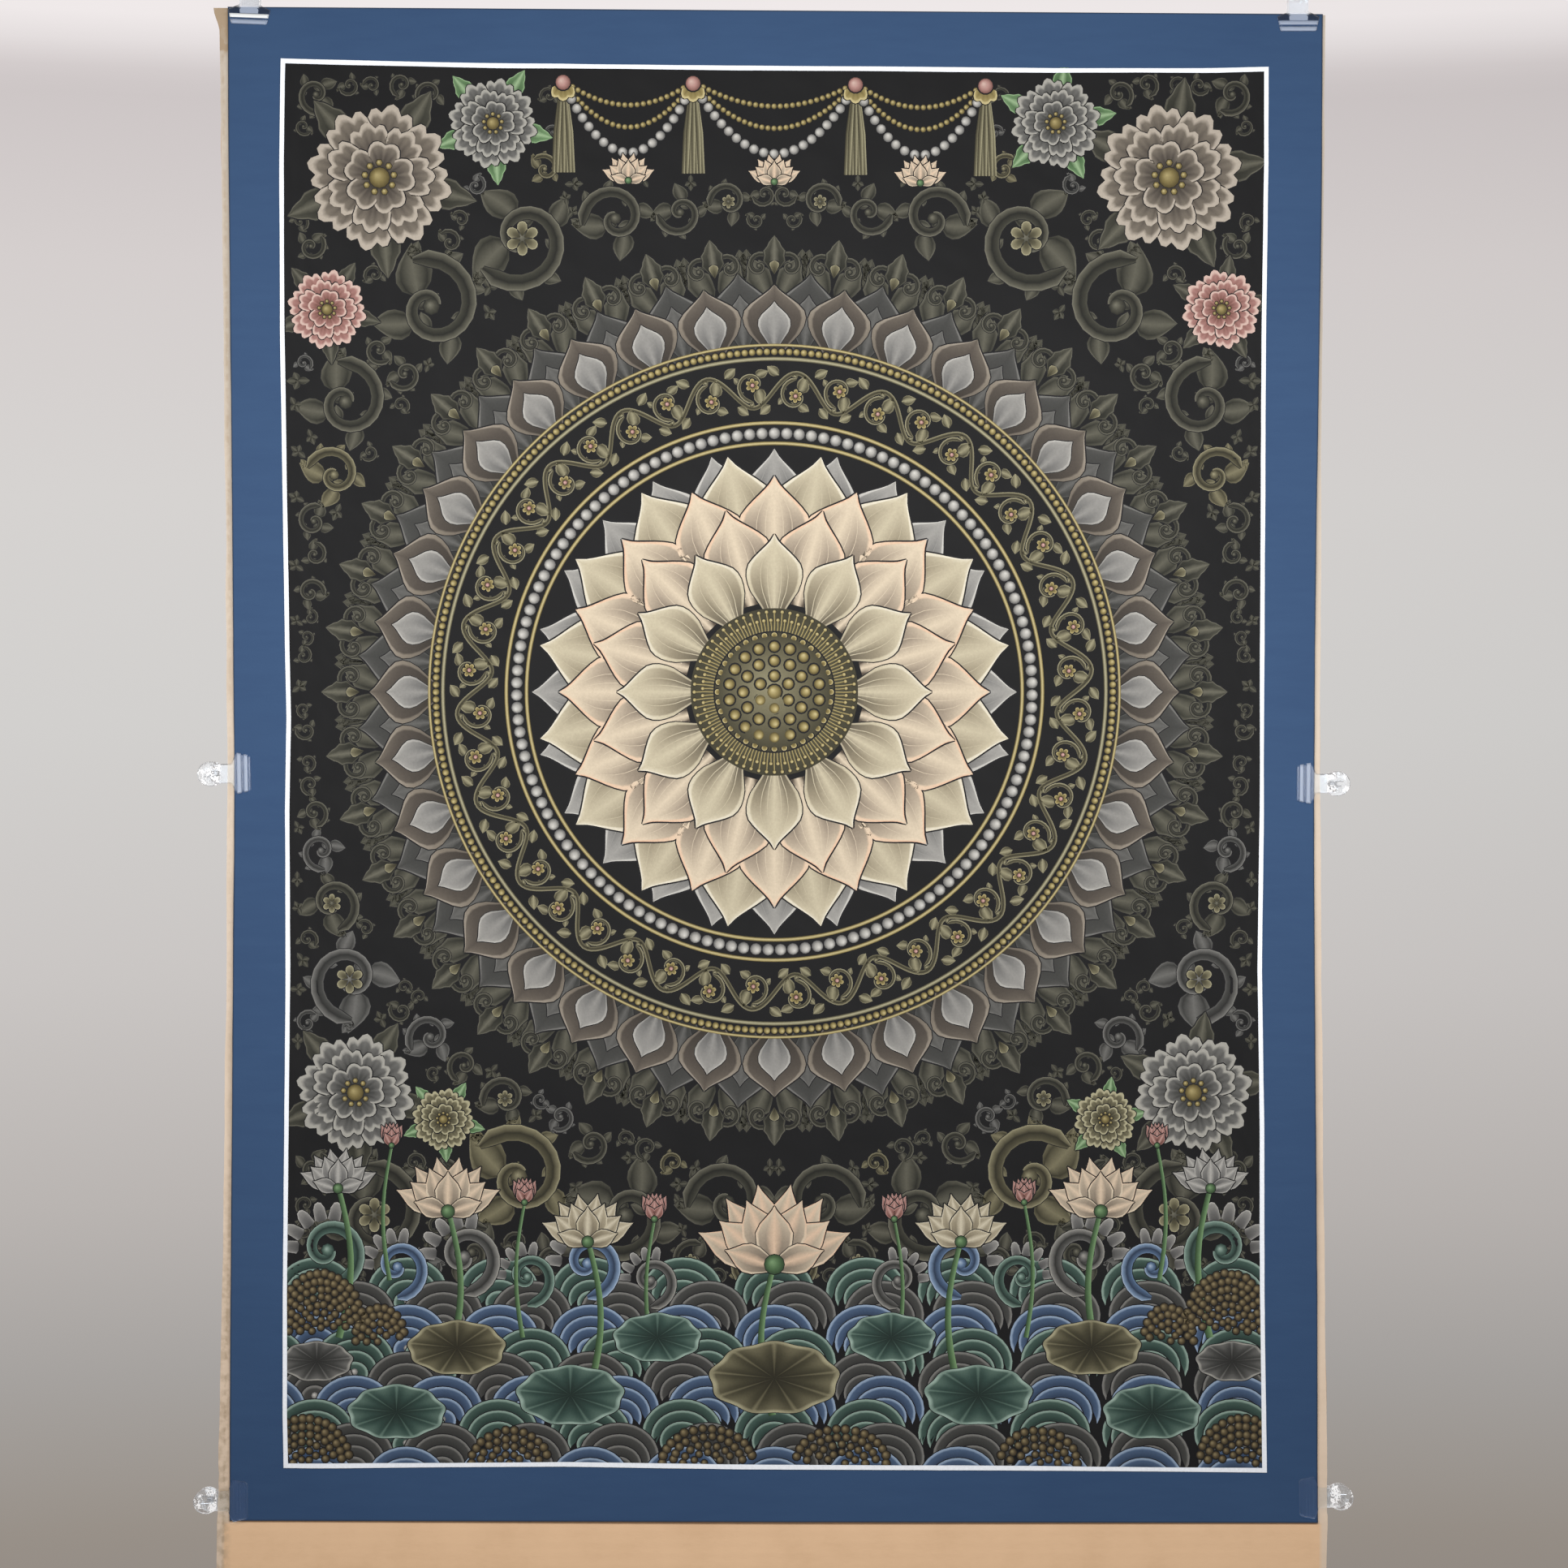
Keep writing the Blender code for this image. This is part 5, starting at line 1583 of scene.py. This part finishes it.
    def clear(self, finish, code, roughness, sizes, **more):
        """Clear polystyrene in one finish, as its material, tree and shader."""
        return new_material("Clear polystyrene, " + finish, **{
            "Base Color": linear(code), "Roughness": roughness, "IOR": sizes.ior, **more})

    def glinting_grip(self, sizes):
        """The same polystyrene on the finger grips, with white specks painted on as glints."""
        material, tree, surface = self.clear("grip with painted glints", "#ffffff", 0.25, sizes)
        place = own_place(tree)
        # Painted glints about 1.2 mm across, gathered in patches of about 5 mm.
        both = maths(tree, "MULTIPLY", noise(tree, place, 950.0, 1.0),
                     noise(tree, place, 200.0, 0.0))
        dress(tree, surface, Alpha=remap(tree, both, (0.285, 0.365), (0.05, 0.9)))
        return material

    def steel(self, sizes):
        """Drawn spring steel wire, plated bright: a worn mirror with fine drawing marks."""
        material, tree, surface = new_material("Bright plated spring wire", **{
            "Base Color": sizes.wire, "Metallic": 1.0})
        # Drawing marks, really about 0.05 mm, are drawn 0.5 mm apart.
        marks = noise(tree, own_place(tree), 2000.0, 2.0)
        dress(tree, surface, Roughness=remap(tree, marks, (0.0, 1.0), (0.30, 0.46)))
        return material


# The camera looks level at the photo's middle, a little right of and below the picture's own.
CAMERA_X, CAMERA_Z = 0.0068, PICTURE_Z - 0.0104


class THANGKA_OT_studio(bpy.types.Operator):
    """Sets the pale floor, the soft studio light, the backdrop and the camera"""
    bl_idname = "thangka.studio"
    bl_label = "Studio"

    def execute(self, context):
        sizes = context.scene.thangka_studio
        self.floor(sizes)
        self.backdrop(context.scene)
        for name, power, place, aim, size in (
                ("key", sizes.key, (0.0, -0.72, -0.31), (0.0, 0.0, -0.33), (1.3, 0.3)),
                ("back", sizes.back, (0.6, 2.2, 0.5), (0.0, 0.0, -0.5), (2.0, 2.0))):
            lamp = bpy.data.lights.new(name, "AREA")
            lamp.shape, lamp.size, lamp.size_y, lamp.energy = "RECTANGLE", size[0], size[1], power
            light = bpy.data.objects.new(name, lamp)
            light.location = place
            light.rotation_mode = "QUATERNION"
            light.rotation_quaternion = (Vector(aim) - Vector(place)).to_track_quat("-Z", "Y")
            light.visible_camera = light.visible_transmission = False
            context.scene.collection.objects.link(light)
        camera = bpy.data.cameras.new("camera")
        camera.lens, camera.sensor_width, camera.sensor_fit = sizes.lens, 36.0, "AUTO"
        camera.dof.use_dof = False
        camera.clip_end = 50
        seat = bpy.data.objects.new("camera", camera)
        seat.location = (CAMERA_X, -sizes.distance, CAMERA_Z)
        seat.rotation_euler = (math.pi / 2, 0, 0)
        context.scene.collection.objects.link(seat)
        context.scene.camera = seat
        context.scene.view_settings.view_transform = "Standard"
        return {"FINISHED"}

    def floor(self, sizes):
        """Pale matt studio floor, far below the hung object."""
        sides, height, radii = 64, -2.0, (1.2, 2.6, 4.0)
        angle = np.arange(sides) / sides * math.tau
        rings = [np.stack([r * np.cos(angle), r * np.sin(angle), np.full(sides, height)], -1)
                 for r in radii]
        points = np.concatenate([[[0, 0, height]]] + rings)
        material, tree, surface = new_material("Matt studio floor", **{"Roughness": 0.85})
        # Faint clouds of about 17 mm.
        grain = noise(tree, own_place(tree), 60.0, 2.0)
        tint = ramp(tree, grain, tints(sizes.floor, (0.3, (0.97, 0.97, 0.97)), (0.7, (1, 1, 1))))
        dress(tree, surface, Base_Color=tint)
        mesh = new_mesh("floor", points, fan_faces(sides, 2))
        mesh.materials.append(material)
        floor = bpy.data.objects.new("floor", mesh)
        bpy.context.scene.collection.objects.link(floor)

    def backdrop(self, scene):
        """A pale grey backdrop, brighter above and darker towards the floor, as a sky."""
        world = bpy.data.worlds.new("Studio backdrop")
        world.use_nodes = True
        tree = world.node_tree
        tree.nodes.clear()
        ray = add(tree, "ShaderNodeTexCoord").outputs["Generated"]
        right, ahead, up = add(tree, "ShaderNodeSeparateXYZ", {0: ray}).outputs
        # Heights of the view as the sine of their angle, mapped to the ramp's 0 to 1.
        share = remap(tree, up, (-0.5, 0.5))
        stops = ((-0.25, "#928a84"), (-0.224, "#989088"), (-0.178, "#a6a29f"), (-0.129, "#b9b4b1"),
                 (-0.058, "#cac6c4"), (0.018, "#d2d0ce"), (0.088, "#d6d3d1"), (0.158, "#d5cfce"),
                 (0.209, "#cdc6c6"), (0.2155, "#d4cdcd"), (0.2235, "#e6e0e0"), (0.231, "#f0eaea"),
                 (0.30, "#e6e0e0"), (0.42, "#a5a09e"))
        tint = ramp(tree, share, [(place + 0.5, linear(code)) for place, code in stops])
        # The room in front of the object is dimmer than the lit backdrop behind it.
        lit = remap(tree, ahead, (-0.3, 0.7), (0.42, 1.0), interpolation_type="SMOOTHSTEP")
        # It is a little dimmer towards the right.
        side = remap(tree, right, (0.0, 0.24), (1.0, 0.945))
        sky = add(tree, "ShaderNodeBackground",
                  {"Color": tint, "Strength": maths(tree, "MULTIPLY", lit, side)})
        add(tree, "ShaderNodeOutputWorld", {"Surface": sky.outputs[0]})
        scene.world = world


class THANGKA_PT_panel(bpy.types.Panel):
    """The sizes, the finishes and one button for each piece or group of pieces"""
    bl_idname = "THANGKA_PT_panel"
    bl_label = "Thangka"
    bl_space_type = "VIEW_3D"
    bl_region_type = "UI"
    bl_category = "Thangka"

    def draw(self, context):
        for name, group in GROUPS.items():
            box = self.layout.box()
            for key in group.__annotations__:
                box.prop(getattr(context.scene, name), key)
        for operator in OPERATORS:
            self.layout.operator(operator.bl_idname)


GROUPS = {"thangka_canvas": CanvasSettings, "thangka_picture": PictureSettings,
          "thangka_board": BoardSettings, "thangka_clips": ClipSettings,
          "thangka_studio": StudioSettings}
OPERATORS = (THANGKA_OT_canvas, THANGKA_OT_ground, THANGKA_OT_lotus, THANGKA_OT_medallion,
             THANGKA_OT_vines, THANGKA_OT_peonies, THANGKA_OT_garlands, THANGKA_OT_water,
             THANGKA_OT_board, THANGKA_OT_clips, THANGKA_OT_studio)


def register():
    for kind in (*GROUPS.values(), *OPERATORS, THANGKA_PT_panel):
        bpy.utils.register_class(kind)
    for name, group in GROUPS.items():
        setattr(bpy.types.Scene, name, bpy.props.PointerProperty(type=group))


def unregister():
    for name in GROUPS:
        delattr(bpy.types.Scene, name)
    for kind in (THANGKA_PT_panel, *OPERATORS[::-1], *list(GROUPS.values())[::-1]):
        bpy.utils.unregister_class(kind)


def main():
    register()
    for operator in OPERATORS:
        area, name = operator.bl_idname.split(".")
        getattr(getattr(bpy.ops, area), name)()


if __name__ == "__main__":
    main()
